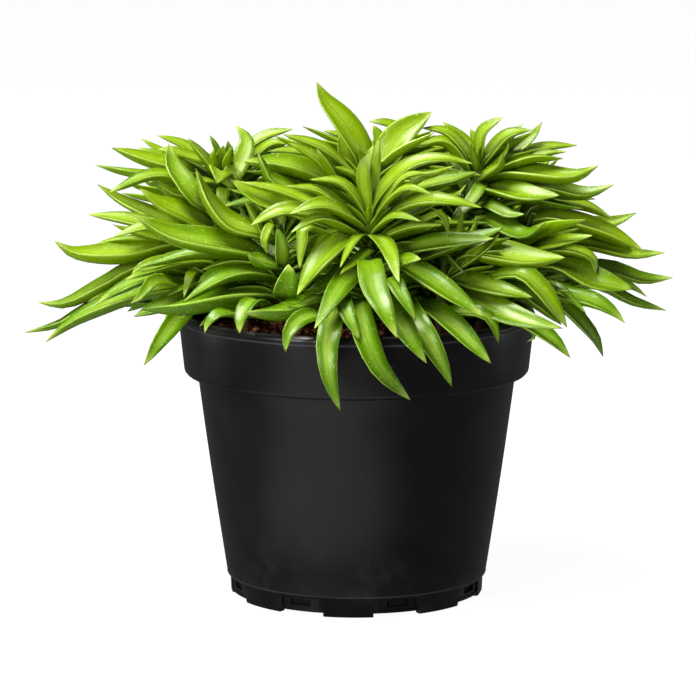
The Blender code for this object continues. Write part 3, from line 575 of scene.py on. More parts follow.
# the leafy stems
leafShape = {
    "places": 17,           # along a leaf's spine
    "rings": 14,
    "sides": 12,
    "fold": 0.36,           # how far the wings stand up, as a share of the half width
    "plainFold": 0.3,       # the same for the plain leaf of the solids
    "plainKeel": 0.42,      # how deep that one's underside is
    "leastKeel": 0.45,      # and what is added to it, in mm
    "tighter": 0.8,         # what is added to the fold of a leaf that grows sideways
    "upturn": 0.65,         # how far such a leaf's groove is turned to face upward
    "wider": 0.14,          # and how much wider it is, so that it is seen as wide as before
    "rootWidth": 0.24,      # the least width towards the root, as a share of the width
    "plump": 0.0005,        # thickness in metres
    "plumpShare": 0.55,     # and what is added to it, as a share of the half width
    "wave": 0.0007,
    "twist": 0.7,           # radians, from root to tip at most
    "seed": 5,
    "clearance": 0.5,       # mm
    "rootShare": 0.34,      # how much of a leaf may touch its own stem's leaves
    "rootDrop": 1.5,        # mm from a seen leaf's root up to the crown, at least
    "rootFall": 0.35,       # how steeply its hidden part falls towards the stem
    "seenFacing": (0.65, 0.7),      # how far it faces upward and to the front
    "seenShare": 0.87,      # how much of its width is seen from the front
    "seenPeak": 0.32,       # where along its seen part a leaf is widest
    "rulePeak": 0.4,        # and along its whole length, for one by rule
    "mostPeak": 0.68,
}
stemShape = {
    "radius": 2.0,
    "tipRadius": 1.3,
    "sides": 10,
    "rings": 5,             # of the plain stem of the solids
    "places": 21,           # along a stem of the scene
    "holeFloor": 78.0,      # where its hole in the soil ends
}
seed = 7
# steps by these spread evenly, round a circle and between 0 and 1
goldenAngle = math.radians(137.508)
goldenShare = 0.618

# Every stem, in millimetres and degrees: where it leaves the soil, its crown as seen from the front, the crown's
# depth, and how many leaves grow by rule, over which arc of bearings and from how far down the crown on. Then the
# listed leaves, as (width, depth of the tip, seen points from the tip inwards); a point may have a
# depth of its own
stemRows = {
    "stem_front": {
        "foot": (5, -27), "crown": (4, 125), "depth": -34, "rule": (6, 30, 150, 0.35),
        "leaves": (
            (7.3, -75, (13.7, 86.5), (9.3, 96, -70), (6, 103.1, -62), (4.4, 112.5, -49)),
            (7.8, -56, (-20, 101), (-11.4, 113), (-3.4, 120.2)),
            (6.8, -72, (-14.2, 89.5), (-6.4, 102), (1.7, 111.3)),
            (5, -64, (14.4, 105), (10.6, 116.8), (5.2, 121.4)),
            (7.4, -70, (23.7, 77.6), (19.5, 84, -68.5), (14.5, 92, -62), (10.5, 99, -46)),
            (7.3, -58, (42.4, 93.8), (26, 105), (15, 111)),
            (6.2, -66, (-5.3, 61.2), (-9, 72, -67), (-10, 82, -65), (-8.8, 90, -60), (-6, 96, -47)),
            (7.2, -62, (18.1, 65.2), (12.5, 70.5, -66), (7.4, 76.5, -68), (3.9, 84, -66), (1.6, 91, -60.5),
             (0.5, 99, -49)),
            (6.4, -61, (32.3, 69.6), (29.5, 76, -62), (25.5, 83.5, -61.5), (20.5, 91, -57), (14, 99, -43)),
            (6, -46, (42, 130.7), (30, 133), (18, 132), (6, 124)),
            (4.8, -38, (39, 145.5), (28, 147.3), (16, 144), (5.5, 132)),
            (3.8, -42, (25, 142.4), (15, 140.5), (7, 128.5)),
            (4.2, -35, (5.5, 151.8), (2.4, 142.6), (3.6, 133.3)),
            (3.8, -29, (7.4, 154.2), (6, 142.6), (5.5, 135)),
            (3.8, -38, (-16, 140.2), (-4.8, 138.7), (2.8, 129)),
            (5, -40, (-24, 138), (-12, 136), (0, 126)),
            (5.3, -46, (-22.4, 128.6), (-11, 131.5), (1.5, 124.5)),
            (4.5, -42, (-35.6, 124.6), (-25, 129.5), (-13, 128)),
            (4.5, -50, (-22.1, 122.1), (-12, 127), (0, 121.5)),
            (6.5, -28, (-42, 140), (-33.7, 134.3), (-25, 130.8)),
            (4, -30, (-38.6, 139.2), (-26, 136.2), (-16, 132.3)),
            (3.5, -50, (21.7, 126), (12.5, 128), (6, 123)),
            (3, -45, (25.6, 134.9), (16.6, 137.4), (9.7, 132.1)),
            (3.5, -47, (29, 124.8), (18, 124), (9, 120.5)),
            (3, -34, (32.4, 144.7), (26, 141.8), (20, 139.5)),
            (5.3, -42, (46, 120.3), (27, 118.5), (14, 115)),
            (5.2, -34, (49.3, 124), (42, 120.5), (34, 118)),
            (5.5, -56, (21.7, 113.3), (18, 113.2), (14, 112)),
            (3, -46, (-17.3, 116.3), (-10.6, 120.6), (-5, 122)),
            (3.8, -44, (-19, 109.8), (-17.5, 119.5), (-15.5, 123.8)),
            (3, -50, (-16, 103), (-8, 107.5), (-5, 111)),
            (2.8, -58, (-5.5, 110.2), (-1.4, 118.6), (2.1, 121.7)),
            (3.2, -60, (-5.5, 108.2), (2, 114.8), (5.1, 116.4)),
            (4.5, -73, (20, 92.5), (14.4, 102, -66), (11.3, 106.7, -58)),
            (5, -71, (1.1, 85.6), (-2.6, 93, -66), (-4.5, 100.2, -56)),
            (6.2, -62, (45.4, 77.4), (30.7, 92.1), (21.5, 96.8)),
            (4, -46, (47.7, 84.4), (45, 91.9), (38, 95)),
            (8.4, -58, (-38.1, 95.1), (-24.6, 95), (-13.4, 98.5)),
            (4.8, -64, (-24, 81.2), (-22.7, 88.6), (-15.4, 93.7)),
            (3, -46, (-26, 116.3), (-17, 118.5), (-8, 119)),
        ),
    },
    "stem_front_left": {
        "foot": (-22, -28), "crown": (-27, 125), "depth": -30, "rule": (10, 80, 185, 0.35),
        "leaves": (
            (9.6, -40, (-74.3, 128.3), (-64, 121.5), (-50, 118), (-34, 115)),
            (10, -52, (-72.5, 96.2), (-58, 96.5), (-42, 100), (-27, 101)),
            (8.4, -34, (-53.6, 144), (-50.2, 134), (-43, 125), (-32, 122)),
            (6.8, -44, (-58.4, 98.5), (-42, 107.5), (-28, 107)),
            (7.2, -50, (-36.8, 115.4), (-33.5, 112.6), (-28, 111.8)),
            (6.5, -46, (-22.9, 111.6), (-22.9, 107, -47.5), (-24, 101.8, -46)),
            (3.5, -38, (-37.7, 133.7), (-32.9, 124.7), (-30.6, 120.4)),
            (3, -42, (-53, 105.1), (-50.5, 107.5), (-44, 109)),
            (5, -58, (-39.3, 87.9), (-38.3, 94), (-34, 99)),
        ),
    },
    "stem_front_right": {
        "foot": (27, -24), "crown": (30, 115), "depth": -22, "rule": (10, 50, 150, 0.3),
        "leaves": (
            (9.2, -30, (70.2, 113.7), (57, 112.3), (38, 115)),
            (8, -50, (69.6, 89.7), (58.7, 91.8), (47.8, 95.2), (39.5, 100), (30, 106)),
            (5.6, -34, (70.8, 89.8), (66, 97), (60.5, 104), (52, 108.5)),
            (3.8, -34, (48, 122), (44, 117.5), (34, 110)),
            (6.8, -42, (59.5, 100.2), (50, 102.2), (41, 104.4), (33, 106.5)),
            (5.4, -46, (72, 79.5), (64, 87), (50, 94)),
            (6, -28, (69, 91), (60, 98.5), (50, 103)),
        ),
    },
    "stem_centre": {
        "foot": (2, -5), "crown": (3, 141), "depth": -9, "rule": (12, 0, 360, 0),
        "leaves": (
            (8, -4, (-13.5, 173), (-10.9, 167), (-5, 160), (0.2, 152), (2.3, 147)),
            (8.7, -2, (25.1, 163), (14.3, 154.2), (8, 142)),
            (5, 2, (-6, 156), (-4, 150), (-1, 142)),
            (8.2, -17, (-38, 146.4), (-23, 144), (-12, 140.5)),
            (5, -16, (-24.5, 155.4), (-12.5, 151.2), (-4, 144.5)),
            (4.3, -20, (-23, 152.5), (-14, 147.5), (-8, 141)),
            (4.3, -18, (-13.3, 150.5), (-9, 143), (-6.5, 140)),
            (5.8, -27, (-33.1, 149.7), (-30.5, 143.5), (-26, 138.5)),
            (3.8, -22, (-7.5, 144.4), (-1, 141.5), (1, 138.5)),
            (4, -22, (-46, 130.8), (-42, 131.3), (-30, 132)),
            (6, -22, (40.3, 142.7), (33, 140), (20, 137)),
        ),
    },
    "stem_left": {
        "foot": (-38, -4), "crown": (-54, 116), "depth": 0, "rule": (12, 60, 200, 0.15),
        "leaves": (
            (8.8, -12, (-101.2, 119.7), (-94, 114.8), (-78, 114.2), (-62, 118)),
            (7.4, -24, (-105, 84.8), (-90.7, 94.3), (-62, 103.5)),
            (6.8, -14, (-107, 98.7), (-98, 97.9), (-84.8, 104), (-70, 111)),
            (7, -34, (-77.6, 106.3), (-60, 112.3), (-48, 111.5)),
            (5.4, 4, (-90, 128.4), (-75.3, 126.3), (-62, 122)),
            (5.5, 10, (-86.7, 138.4), (-78, 132.6), (-60, 124)),
            (7.8, -16, (-72.6, 137.2), (-66, 132), (-57.5, 128.4), (-49, 123)),
            (4.5, -16, (-81.4, 120.8), (-67.7, 124.7), (-54, 121)),
            (3.5, -8, (-112.2, 88.2), (-99.3, 91.3), (-84, 98)),
            (5.4, -30, (-87.3, 98), (-79.3, 102.8), (-66, 107)),
            (6.8, -34, (-75, 93.6), (-62, 98.5), (-52, 102)),
            (5.2, -44, (-71.6, 77), (-64.8, 87.3), (-55, 97)),
            (3, -4, (-89, 117.3), (-80, 119.5), (-66, 119)),
            (3, -22, (-75.5, 107.8), (-71.7, 111), (-60, 113)),
            (3, -8, (-81.7, 124.9), (-74, 122), (-62, 119)),
            (3, -40, (-58, 100), (-56.8, 104), (-54, 109)),
        ),
    },
    "stem_right": {
        "foot": (41, -5), "crown": (56, 119), "depth": 2, "rule": (12, -10, 120, 0.3),
        "leaves": (
            (6.6, -10, (96.5, 115.8), (91, 118.6), (81, 123), (62, 127)),
            (7.8, -20, (93, 102.9), (80, 105.5), (66, 111)),
            (5.5, 6, (106.3, 107.1), (96, 106.2), (78, 110)),
            (4.8, 2, (103.4, 115.6), (92, 114.7), (71, 118)),
            (4.5, 0, (104.3, 95.8), (93, 98.5), (76, 105)),
            (7, -26, (90.4, 91.4), (86, 95.2), (79, 98.8), (69, 101), (60, 104)),
            (5.2, -32, (83, 79.8), (78, 89), (63, 101)),
            (6.2, 4, (86, 126.8), (74, 131.8), (58, 131)),
            (4.6, 10, (93.6, 129), (85, 125.3), (68, 123)),
            (5, -22, (79, 121.2), (69, 119.2), (58, 116.5)),
            (4.8, -24, (80.1, 108.2), (78, 114), (66, 116)),
            (3.5, -14, (74.2, 123.7), (66, 120.8), (58, 118)),
            (3.5, -8, (97.6, 100.3), (90, 105), (74, 109)),
        ),
    },
    "stem_left_upper": {
        "foot": (-26, 10), "crown": (-45, 143), "depth": 10, "rule": (10, 20, 160, 0),
        "leaves": (
            (6.3, 4, (-81.8, 150.7), (-70, 146.5), (-56, 142.5)),
            (4, 10, (-87.4, 144.9), (-76, 142.3), (-60, 140)),
            (3.8, 10, (-66.5, 155), (-57, 151.3), (-49, 145)),
            (6.2, 0, (-62.6, 152.4), (-61.3, 144.3, -5), (-57.3, 138.3, -9), (-53, 133, -10)),
            (5.5, 0, (-69, 141.4), (-62.5, 136), (-54, 134)),
            (5.2, -6, (-83, 135.5), (-68, 141.5), (-56, 139)),
            (6, 7, (-40.2, 158.3), (-36.6, 152.5, 4), (-40, 144, -2), (-43, 139, -4)),
            (5, 2, (-56.3, 154), (-50.8, 147.5), (-47, 142)),
            (3.8, 16, (-21.3, 157), (-31, 154.2), (-39, 148)),
            (4.5, 6, (-23, 152), (-29, 152), (-38, 144)),
            (3, 16, (-72, 154), (-65, 149.5), (-53, 144)),
            (3.2, 14, (-73, 151), (-61, 146.5), (-52, 142)),
            (5, 0, (-44.5, 151.5), (-44.8, 148), (-45, 143)),
            (7, -16, (-46.5, 138.8), (-46, 141.5, -13), (-45.5, 142.6, -6)),
            (3, -10, (-57, 136), (-53, 139), (-48, 139)),
            (4, -6, (-44, 131), (-44.5, 134), (-44, 137)),
        ),
    },
    "stem_right_upper": {
        "foot": (27, 4), "crown": (41, 145), "depth": -2, "rule": (10, 10, 170, 0),
        "leaves": (
            (7.4, -12, (80.8, 144.7), (71, 140.5), (50, 142)),
            (7.2, -18, (68, 134.9), (57, 134.8), (43, 137)),
            (5.8, -24, (63.6, 126.3), (56, 121.3), (43, 127)),
            (5.2, -8, (86.1, 138.4), (76, 135), (58, 137.5)),
            (4.3, 8, (73.7, 151.6), (62, 150.6), (48, 145)),
            (4.2, 6, (61.9, 159.4), (57.5, 153.5), (45, 145)),
            (4.3, -6, (48.9, 161.2), (42, 156.3), (41, 148)),
            (5, -4, (58.3, 156.9), (49.9, 154.8), (43, 147)),
            (5, -8, (20.3, 151), (29.5, 152.5), (37, 144)),
            (5, -2, (21.5, 157.5), (30, 156), (36.5, 149), (38, 144)),
            (3.8, 4, (28.7, 159.6), (35.5, 153.5), (39.5, 147)),
            (4.5, -8, (69, 147.1), (58, 147), (46, 143)),
            (3, 0, (70.3, 149.5), (63, 148.5), (50, 144)),
            (5, -14, (48.5, 149), (48, 145), (42, 141)),
            (3.8, -20, (30.5, 124.5), (38, 132.5), (42, 139)),
            (3.8, -18, (56.5, 128.6), (51, 128.4), (43, 132)),
            (3.5, 4, (38, 157.5), (40, 152), (41, 147)),
        ),
    },
    "stem_middle": {
        "foot": (5, 15), "crown": (7, 147), "depth": 20, "rule": (18, 0, 360, 0),
        "leaves": (
            (3.4, 14, (4, 159.7), (11, 158.8), (17, 154.5)),
            (3, 12, (-18.2, 158), (-12, 155.5), (2, 149)),
            (3.4, 12, (20, 157.5), (14, 156), (8, 149)),
            (4, 16, (-19, 152), (-11, 151.5), (1, 148)),
            (3.5, 20, (-11, 156.5), (-4, 154.5), (4, 150)),
            (4, 24, (5.5, 158.5), (8, 153), (8, 149)),
            (4.5, 12, (-30, 149.5), (-20, 149.5), (-8, 147)),
            (4.5, 12, (31, 149.5), (22, 151.5), (13, 149)),
        ),
    },
    "stem_back_left": {
        "foot": (-34, 24), "crown": (-52, 130), "depth": 34, "rule": (26, 0, 360, 0),
        "leaves": (),
    },
    "stem_back_inner_left": {
        "foot": (-12, 36), "crown": (-16, 139), "depth": 48, "rule": (24, 0, 360, 0),
        "leaves": (),
    },
    "stem_back_inner_right": {
        "foot": (15, 36), "crown": (20, 138), "depth": 48, "rule": (24, 0, 360, 0),
        "leaves": (),
    },
    "stem_back_right": {
        "foot": (37, 20), "crown": (55, 131), "depth": 32, "rule": (26, 0, 360, 0),
        "leaves": (),
    },
}

# the plant's outline as seen from the front, inside the tips of its own leaves, which the other leaves keep to
seenOutline = (
    (-62, 90), (-72, 97), (-96, 97), (-92, 102), (-82, 109), (-80, 121), (-82, 129), (-78, 141),
    (-73, 149), (-48, 150), (-36, 155), (-5, 156), (14, 158), (40, 156), (59, 156), (61, 152),
    (69, 150), (67, 145), (74, 138), (79, 132), (84, 123), (90, 116), (90, 111), (92, 102),
    (76, 96), (60, 88),
)

# the small leaves between them, in the same way; those with a tip behind the crown only close gaps
smallRows = {
    "stem_front": (
        (2.4, -42, (31, 120.5), (28.2, 128.3), (22, 126)),
        (2.5, -58, (0.1, 93), (0.7, 97.2), (3, 101.1)),
        (2.4, -52, (-25.9, 98.9), (-20, 97), (-12, 100)),
    ),
    "stem_front_left": (
        (2.6, -40, (-30, 115), (-31, 120), (-28.5, 125)),
        (4, -40, (-26.6, 124), (-25.2, 118.5, -40), (-25, 112, -38)),
        (4, -55, (-51, 87.9), (-49.7, 91.3), (-44, 95)),
    ),
    "stem_front_right": (
        (2.4, -46, (57.3, 85), (60, 88), (52, 96)),
        (2.4, -34, (63.7, 108.4), (59, 107.5), (48, 108)),
        (2.6, -26, (34.5, 131), (35, 126), (33, 118)),
        (2.6, -28, (39.9, 128.1), (39.3, 124), (35, 117)),
    ),
    "stem_centre": (
        (2.5, -14, (-36, 149.3), (-33, 146), (-24, 141)),
        (2.5, -24, (-43.2, 137), (-38, 135.5), (-28, 134)),
        (2.5, -24, (36.5, 138.6), (32.6, 134.5), (22, 133)),
    ),
    "stem_left": (
        (4, -22, (-76, 98.2), (-72, 101), (-66, 106)),
        (5, 10, (-77, 95.5), (-70, 99.5), (-62, 103)),
        (6, 12, (-76, 114.5), (-68, 115.5), (-60, 116)),
        (3.5, -42, (-61.5, 90.6), (-58, 94.5), (-52, 99)),
    ),
    "stem_right": (
        (2.4, -22, (77.2, 94.5), (74, 98), (64, 105)),
        (2.5, -30, (71.8, 102.4), (66, 103.2), (58, 107)),
        (6, 14, (76, 103), (71, 106.5), (65, 108.5)),
        (5.5, 8, (92, 117.3), (84, 120.3), (72, 123)),
    ),
    "stem_left_upper": (
        (2.4, 4, (-49.1, 155), (-47.3, 151.5), (-45.5, 146)),
        (3, -2, (-47.6, 150.6), (-48, 147.5), (-47, 143.5)),
        (3, -2, (-41.6, 151.6), (-42.4, 148), (-43.5, 143.5)),
        (3, 4, (-43, 153.2), (-43, 149.5), (-44.5, 145)),
        (3.6, 2, (-84, 131.5), (-76, 132.3), (-62, 131)),
        (3.4, 8, (-66, 150.5), (-60, 149.5), (-51, 146)),
        (4, 8, (-70, 138.5), (-64, 139.3), (-56, 138)),
        (4, 10, (-80, 134.3), (-73, 135), (-62, 133.5)),
        (5, 12, (-37, 125), (-33.5, 129), (-37, 134)),
    ),
    "stem_right_upper": (
        (2.4, -6, (50.7, 152.8), (49.5, 149), (44, 143)),
        (2.5, 4, (55.7, 159), (51.5, 155.5), (43, 148)),
        (2.4, -12, (65, 141), (58, 139.2), (48, 139)),
        (4, -4, (80, 133.5), (70, 134.5), (58, 135.5)),
        (3.6, -6, (76, 130.5), (68, 131.5), (56, 133)),
        (2.4, -10, (38, 153), (38.3, 150), (40, 144)),
        (6, 12, (26, 128), (32, 131), (38, 134.5)),
        (5.5, 6, (53, 128.5), (48, 130.5), (43, 133.5)),
        (5, 10, (13, 138), (20, 140.5), (30, 142)),
    ),
}
filling = {
    "buds": 7,              # young leaves in a crown
    "budDepth": (0.4, 3.2),         # of a root below the crown, and what is added for the outermost
    "budLength": (6.0, 15.0),
    "budWidth": (1.7, 3.0),
    "budElevation": (86, -34),      # degrees, and what is added for the outermost
    "budDroop": (10, 22),
    "budSteps": 4,
    "fillers": 40,          # leaves by rule that are tried to close the gaps
    "fillerLevels": (0.15, 0.95),
    "fillerLength": (20.0, 42.0),
    "fillerWidth": (4.0, 6.4),
    "seed": 23,
}


def seenPlace(x, z, depth):
    # the place at this depth that is seen at (x, z) on the upright plane through the pot's axis
    reach = (view["distance"] + depth) / view["distance"]
    return Vector((x * reach, depth, view["height"] + (z - view["height"]) * reach))


def smoothThrough(points, count):
    # evenly spaced places along a smooth curve through the points
    fine = []
    for i in range(len(points) - 1):
        a, b = points[i], points[i + 1]
        before = points[i - 1] if i else a * 2 - b
        after = points[i + 2] if i + 2 < len(points) else b * 2 - a
        for k in range(8):
            t = k / 8
            fine.append(0.5 * (
                2 * a + (b - before) * t + (2 * before - 5 * a + 4 * b - after) * t ** 2
                + (3 * a - before - 3 * b + after) * t ** 3))
    fine.append(points[-1].copy())
    lengths = [0.0]
    for a, b in zip(fine, fine[1:]):
        lengths.append(lengths[-1] + (b - a).length)
    places = []
    at = 0
    for k in range(count):
        goal = lengths[-1] * k / (count - 1)
        while at < len(fine) - 2 and lengths[at + 1] < goal:
            at += 1
        share = (goal - lengths[at]) / max(lengths[at + 1] - lengths[at], 1e-9)
        places.append(fine[at].lerp(fine[at + 1], share))
    return places


def aimed(bearing, angle):
    # the way at this bearing and this angle above level
    return Vector((math.cos(bearing) * math.cos(angle), math.sin(bearing) * math.cos(angle), math.sin(angle)))


def stemSpine(stem):
    x, y = stem["foot"]
    crown = seenPlace(*stem["crown"], stem["depth"])
    bottom = Vector((x, y, stemShape["holeFloor"] + soil["gap"]))
    buried = Vector((x, y, soil["top"] - 4))
    leaving = Vector((x, y, soil["top"] + 2))
    bend = leaving.lerp(crown, 0.5) + upward * 3
    return smoothThrough([bottom, buried, leaving, bend, crown], 25)


def onSpine(spine, height):
    for a, b in zip(spine, spine[1:]):
        if b.z >= height:
            return a.lerp(b, (height - a.z) / max(b.z - a.z, 1e-9))
    return spine[-1]


def leafOutline(t, peak):
    rise = peak / (1 - peak)
    return max((t / peak) ** rise * (1 - t) / (1 - peak), leafShape["rootWidth"] * (1 - t))


def leafFrames(spine, facing):
    # the leaf's heading and the way its upper side faces, at each place but the tip
    headings = [(spine[i + 1] - spine[max(i - 1, 0)]).normalized() for i in range(len(spine) - 1)]
    start = min(range(len(headings)), key=lambda i: abs(headings[i].dot(facing)))
    ups = {start: (facing - headings[start] * headings[start].dot(facing)).normalized()}
    for i in list(range(start + 1, len(headings))) + list(range(start - 1, -1, -1)):
        beside = i - 1 if i > start else i + 1
        ups[i] = headings[beside].rotation_difference(headings[i]) @ ups[beside]
    return [(heading, ups[i]) for i, heading in enumerate(headings)]


def coarseLeaf(spine, width, peak, facing, margin):
    # the plain three-sided leaf of the solids, which tells where a leaf has room
    points = []
    last = len(spine) - 1
    for i, (along, up) in enumerate(leafFrames(spine, facing)):
        side = along.cross(up)
        half = width / 2 * leafOutline(i / last, peak) + margin
        lift = leafShape["plainFold"] * half + margin
        keel = leafShape["plainKeel"] * half + leafShape["leastKeel"] + margin
        points += [spine[i] - side * half + up * lift, spine[i] + side * half + up * lift, spine[i] - up * keel]
    points.append(spine[-1] + (spine[-1] - spine[-2]).normalized() * margin)
    faces = [(0, 1, 2)]
    for i in range(last - 1):
        for k in range(3):
            a, b = 3 * i + k, 3 * i + (k + 1) % 3
            faces += [(a, b, b + 3), (a, b + 3, a + 3)]
    end = 3 * (last - 1)
    for k in range(3):
        faces.append((end + k, end + (k + 1) % 3, end + 3))
    return points, faces


def boxOf(points, width):
    grow = width + 1
    return [min(p[k] for p in points) - grow for k in range(3)], [max(p[k] for p in points) + grow for k in range(3)]


class Leaf:
    def __init__(self, node, control, width, facing, age, peak=leafShape["rulePeak"]):
        self.node = node
        self.control = control
        self.width = width
        self.facing = facing
        self.age = age
        self.peak = peak
        length = sum((b - a).length for a, b in zip(control, control[1:]))
        self.spine = smoothThrough(control, 4 if length < 30 else 5)
        self.low, self.high = boxOf(self.spine, width)
        self.trees = {}

    def tree(self, margin, outerOnly):
        # made when it is first asked for
        if (margin, outerOnly) not in self.trees:
            points, faces = coarseLeaf(self.spine, self.width, self.peak, self.facing, margin)
            if outerOnly:
                first = math.ceil(leafShape["rootShare"] * (len(self.spine) - 1)) * 3
                faces = [face for face in faces if min(face) >= first]
            self.trees[margin, outerOnly] = BVHTree.FromPolygons(points, faces)
        return self.trees[margin, outerOnly]

    def clearOf(self, others, ownToo, margin=leafShape["clearance"]):
        for other in others:
            if any(self.low[k] > other.high[k] or other.low[k] > self.high[k] for k in range(3)):
                continue
            if other.node != self.node:
                if self.tree(margin, False).overlap(other.tree(0, False)):
                    return False
            elif ownToo and self.tree(margin, True).overlap(other.tree(0, True)):
                return False
        return True


class Obstacle:
    def __init__(self, node, points, faces):
        self.node = node
        self.whole = BVHTree.FromPolygons(points, faces)
        self.low, self.high = boxOf(points, 0)

    def tree(self, margin, outerOnly):
        return self.whole


def coarseStem(spine):
    bared = soil["top"] + 2
    rings, sides = stemShape["rings"], 6
    rise = (spine[-1].z - bared) / (rings - 2)
    places = [spine[0]] + [onSpine(spine, bared + rise * i) for i in range(rings - 1)]
    points = []
    for i, middle in enumerate(places):
        along = (places[min(i + 1, rings - 1)] - places[max(i - 1, 0)]).normalized()
        across = along.cross(frontward).normalized()
        other = along.cross(across)
        radius = stemShape["radius"] + (stemShape["tipRadius"] - stemShape["radius"]) * i / (rings - 1)
        for k in range(sides):
            angle = 2 * math.pi * k / sides
            points.append(middle + across * radius * math.cos(angle) + other * radius * math.sin(angle))
    faces = [tuple(range(sides))[::-1]]
    for i in range(rings - 1):
        for k in range(sides):
            j = (k + 1) % sides
            faces.append((sides * i + k, sides * i + j, sides * (i + 1) + j, sides * (i + 1) + k))
    faces.append(tuple(range(sides * (rings - 1), sides * rings)))
    return points, faces


def seenLeaf(node, spine, row, shift):
    # a leaf from its row, with its tip's depth shifted
    width, depth, *marks = row
    marks = marks[::-1]
    top = spine[-1].z
    nearX, nearZ = marks[0][:2]
    start = seenPlace(nearX, nearZ, (spine[-1].y + depth) / 2)
    reach = math.hypot(start.x - spine[-1].x, start.y - spine[-1].y)
    drop, lowest = leafShape["rootDrop"], soil["top"] + growth["leastHeight"]
    height = min(top - drop, max(lowest, start.z - leafShape["rootFall"] * reach - drop))
    root = onSpine(spine, height)
    tipDepth = depth + shift
    walked = [math.hypot(nearX - root.x, nearZ - root.z) + 0.01]
    for a, b in zip(marks, marks[1:]):
        walked.append(walked[-1] + math.hypot(b[0] - a[0], b[1] - a[1]))
    control = [root]
    for (x, z, *ownDepth), length in zip(marks, walked):
        out = 1 - (1 - length / walked[-1]) ** 1.5
        atDepth = ownDepth[0] + shift if ownDepth else root.y + (tipDepth - root.y) * out
        control.append(seenPlace(x, z, atDepth))
    rise, fore = leafShape["seenFacing"]
    facing = (upward * rise + frontward * fore).normalized()
    steps = [(b - a).length for a, b in zip(control, control[1:])]
    hidden = steps[0] / sum(steps)
    peak = min(hidden + (1 - hidden) * leafShape["seenPeak"], leafShape["mostPeak"])
    return Leaf(node, control, width / leafShape["seenShare"], facing, (top - height) / 30, peak)


def inOutline(place):
    # whether a place is seen within the plant's outline, or is hidden behind the pot
    reach = (view["distance"] + place.y) / view["distance"]
    x = place.x / reach
    z = view["height"] + (place.z - view["height"]) / reach
    if place.y > 0 and abs(x) < pot["bodyTopRadius"] and z < pot["rimTop"]:
        return True
    inside = False
    for (x0, z0), (x1, z1) in zip(seenOutline, seenOutline[1:] + seenOutline[:1]):
        if (z0 > z) != (z1 > z) and x < x0 + (x1 - x0) * (z - z0) / (z1 - z0):
            inside = not inside
    return inside


# leaves by rule, from the top of a crown (level 0) to its lowest leaves (level 1)
growth = {
    "rootDepth": (2, 26),           # mm below the crown, and what is added to that at level 1
    "leastHeight": 6,               # of a root over the soil
    "length": (26, 34, 0.6),        # mm, what is added at level 1, and the power that it grows with
    "width": (4.2, 2.4, 0.7),
    "elevation": (68, -62),         # degrees
    "droop": (40, 34),
    "upcurl": 16,                   # at the tip
    "facing": (0.75, 0.6),          # how far a leaf faces upward and outward
    "heart": -12,                   # y of the place that leaves face away from
    "steps": 6,
}


def ruleLeaf(node, spine, plan, lengthShare, lift, turn):
    # a leaf by rule: higher ones are short and steep, lower ones long and hanging
    level, bearing, length, width, sway = plan
    length *= lengthShare
    near, far = growth["rootDepth"]
    root = onSpine(spine, max(spine[-1].z - near - far * level, soil["top"] + growth["leastHeight"]))
    bearing += math.radians(turn)
    elevation = math.radians(growth["elevation"][0] + growth["elevation"][1] * level + lift)
    bend = math.radians(-(growth["droop"][0] + growth["droop"][1] * level)) - math.radians(lift) * 0.5
    steps = growth["steps"]
    place = root.copy()
    control = [root]
    for k in range(steps):
        share = (k + 0.5) / steps
        angle = elevation + bend * share + math.radians(growth["upcurl"]) * max(share - 0.75, 0) * 4
        heading = bearing + sway * share
        place = place + length / steps * aimed(heading, angle)
        control.append(place)
    outward = Vector((root.x, root.y - growth["heart"], 0))
    rise, away = growth["facing"]
    facing = (upward * rise + outward.normalized() * away).normalized()
    return Leaf(node, control, width, facing, level)


# how far a listed leaf may move in depth to find room
depthShifts = (0, -3, 3, -6, 6, -9, 9, -12, 12, -16, 16, -20, 20, -25, 25, -30, 30)


def placeSeenLeaves(node, spine, rows, placed):
    # each at the depth nearest its own where it is clear
    for row in rows:
        choices = [seenLeaf(node, spine, row, shift) for shift in depthShifts]
        chosen = next((leaf for leaf in choices if leaf.clearOf(placed, True)), None)
        chosen = chosen or next((leaf for leaf in choices if leaf.clearOf(placed, False)), None)
        if chosen:
            placed.append(chosen)


# how a leaf by rule may be changed to find room, as a share of its length, a lift and a turn in degrees
ruleTries = [(share, lift, turn) for share in (1, 0.8, 0.65) for lift in (0, 10, -10, 20, -20)
             for turn in (0, 8, -8, 16, -16, 24, -24, 34, -34)]


def placeRuleLeaves(node, spine, rule, placed, rng):
    count, first, last, least = rule
    (short, longer, lengthPower), (narrow, wider, widthPower) = growth["length"], growth["width"]
    for i in range(count):
        level = least + (1 - least) * (i + 0.6) / count
        if last - first >= 360:
            bearing = i * goldenAngle
        else:
            bearing = math.radians(first + (last - first) * ((i * goldenShare) % 1))
        plan = (
            level,
            bearing + rng.uniform(-0.12, 0.12),
            (short + longer * level ** lengthPower) * rng.uniform(0.88, 1.12),
            (narrow + wider * level ** widthPower) * rng.uniform(0.9, 1.15),
            rng.uniform(-0.35, 0.35),
        )
        choices = (ruleLeaf(node, spine, plan, *one) for one in ruleTries)
        choices = (leaf for leaf in choices if all(inOutline(place) for place in leaf.spine))
        chosen = next((leaf for leaf in choices if leaf.clearOf(placed, True)), None)
        if chosen:
            placed.append(chosen)


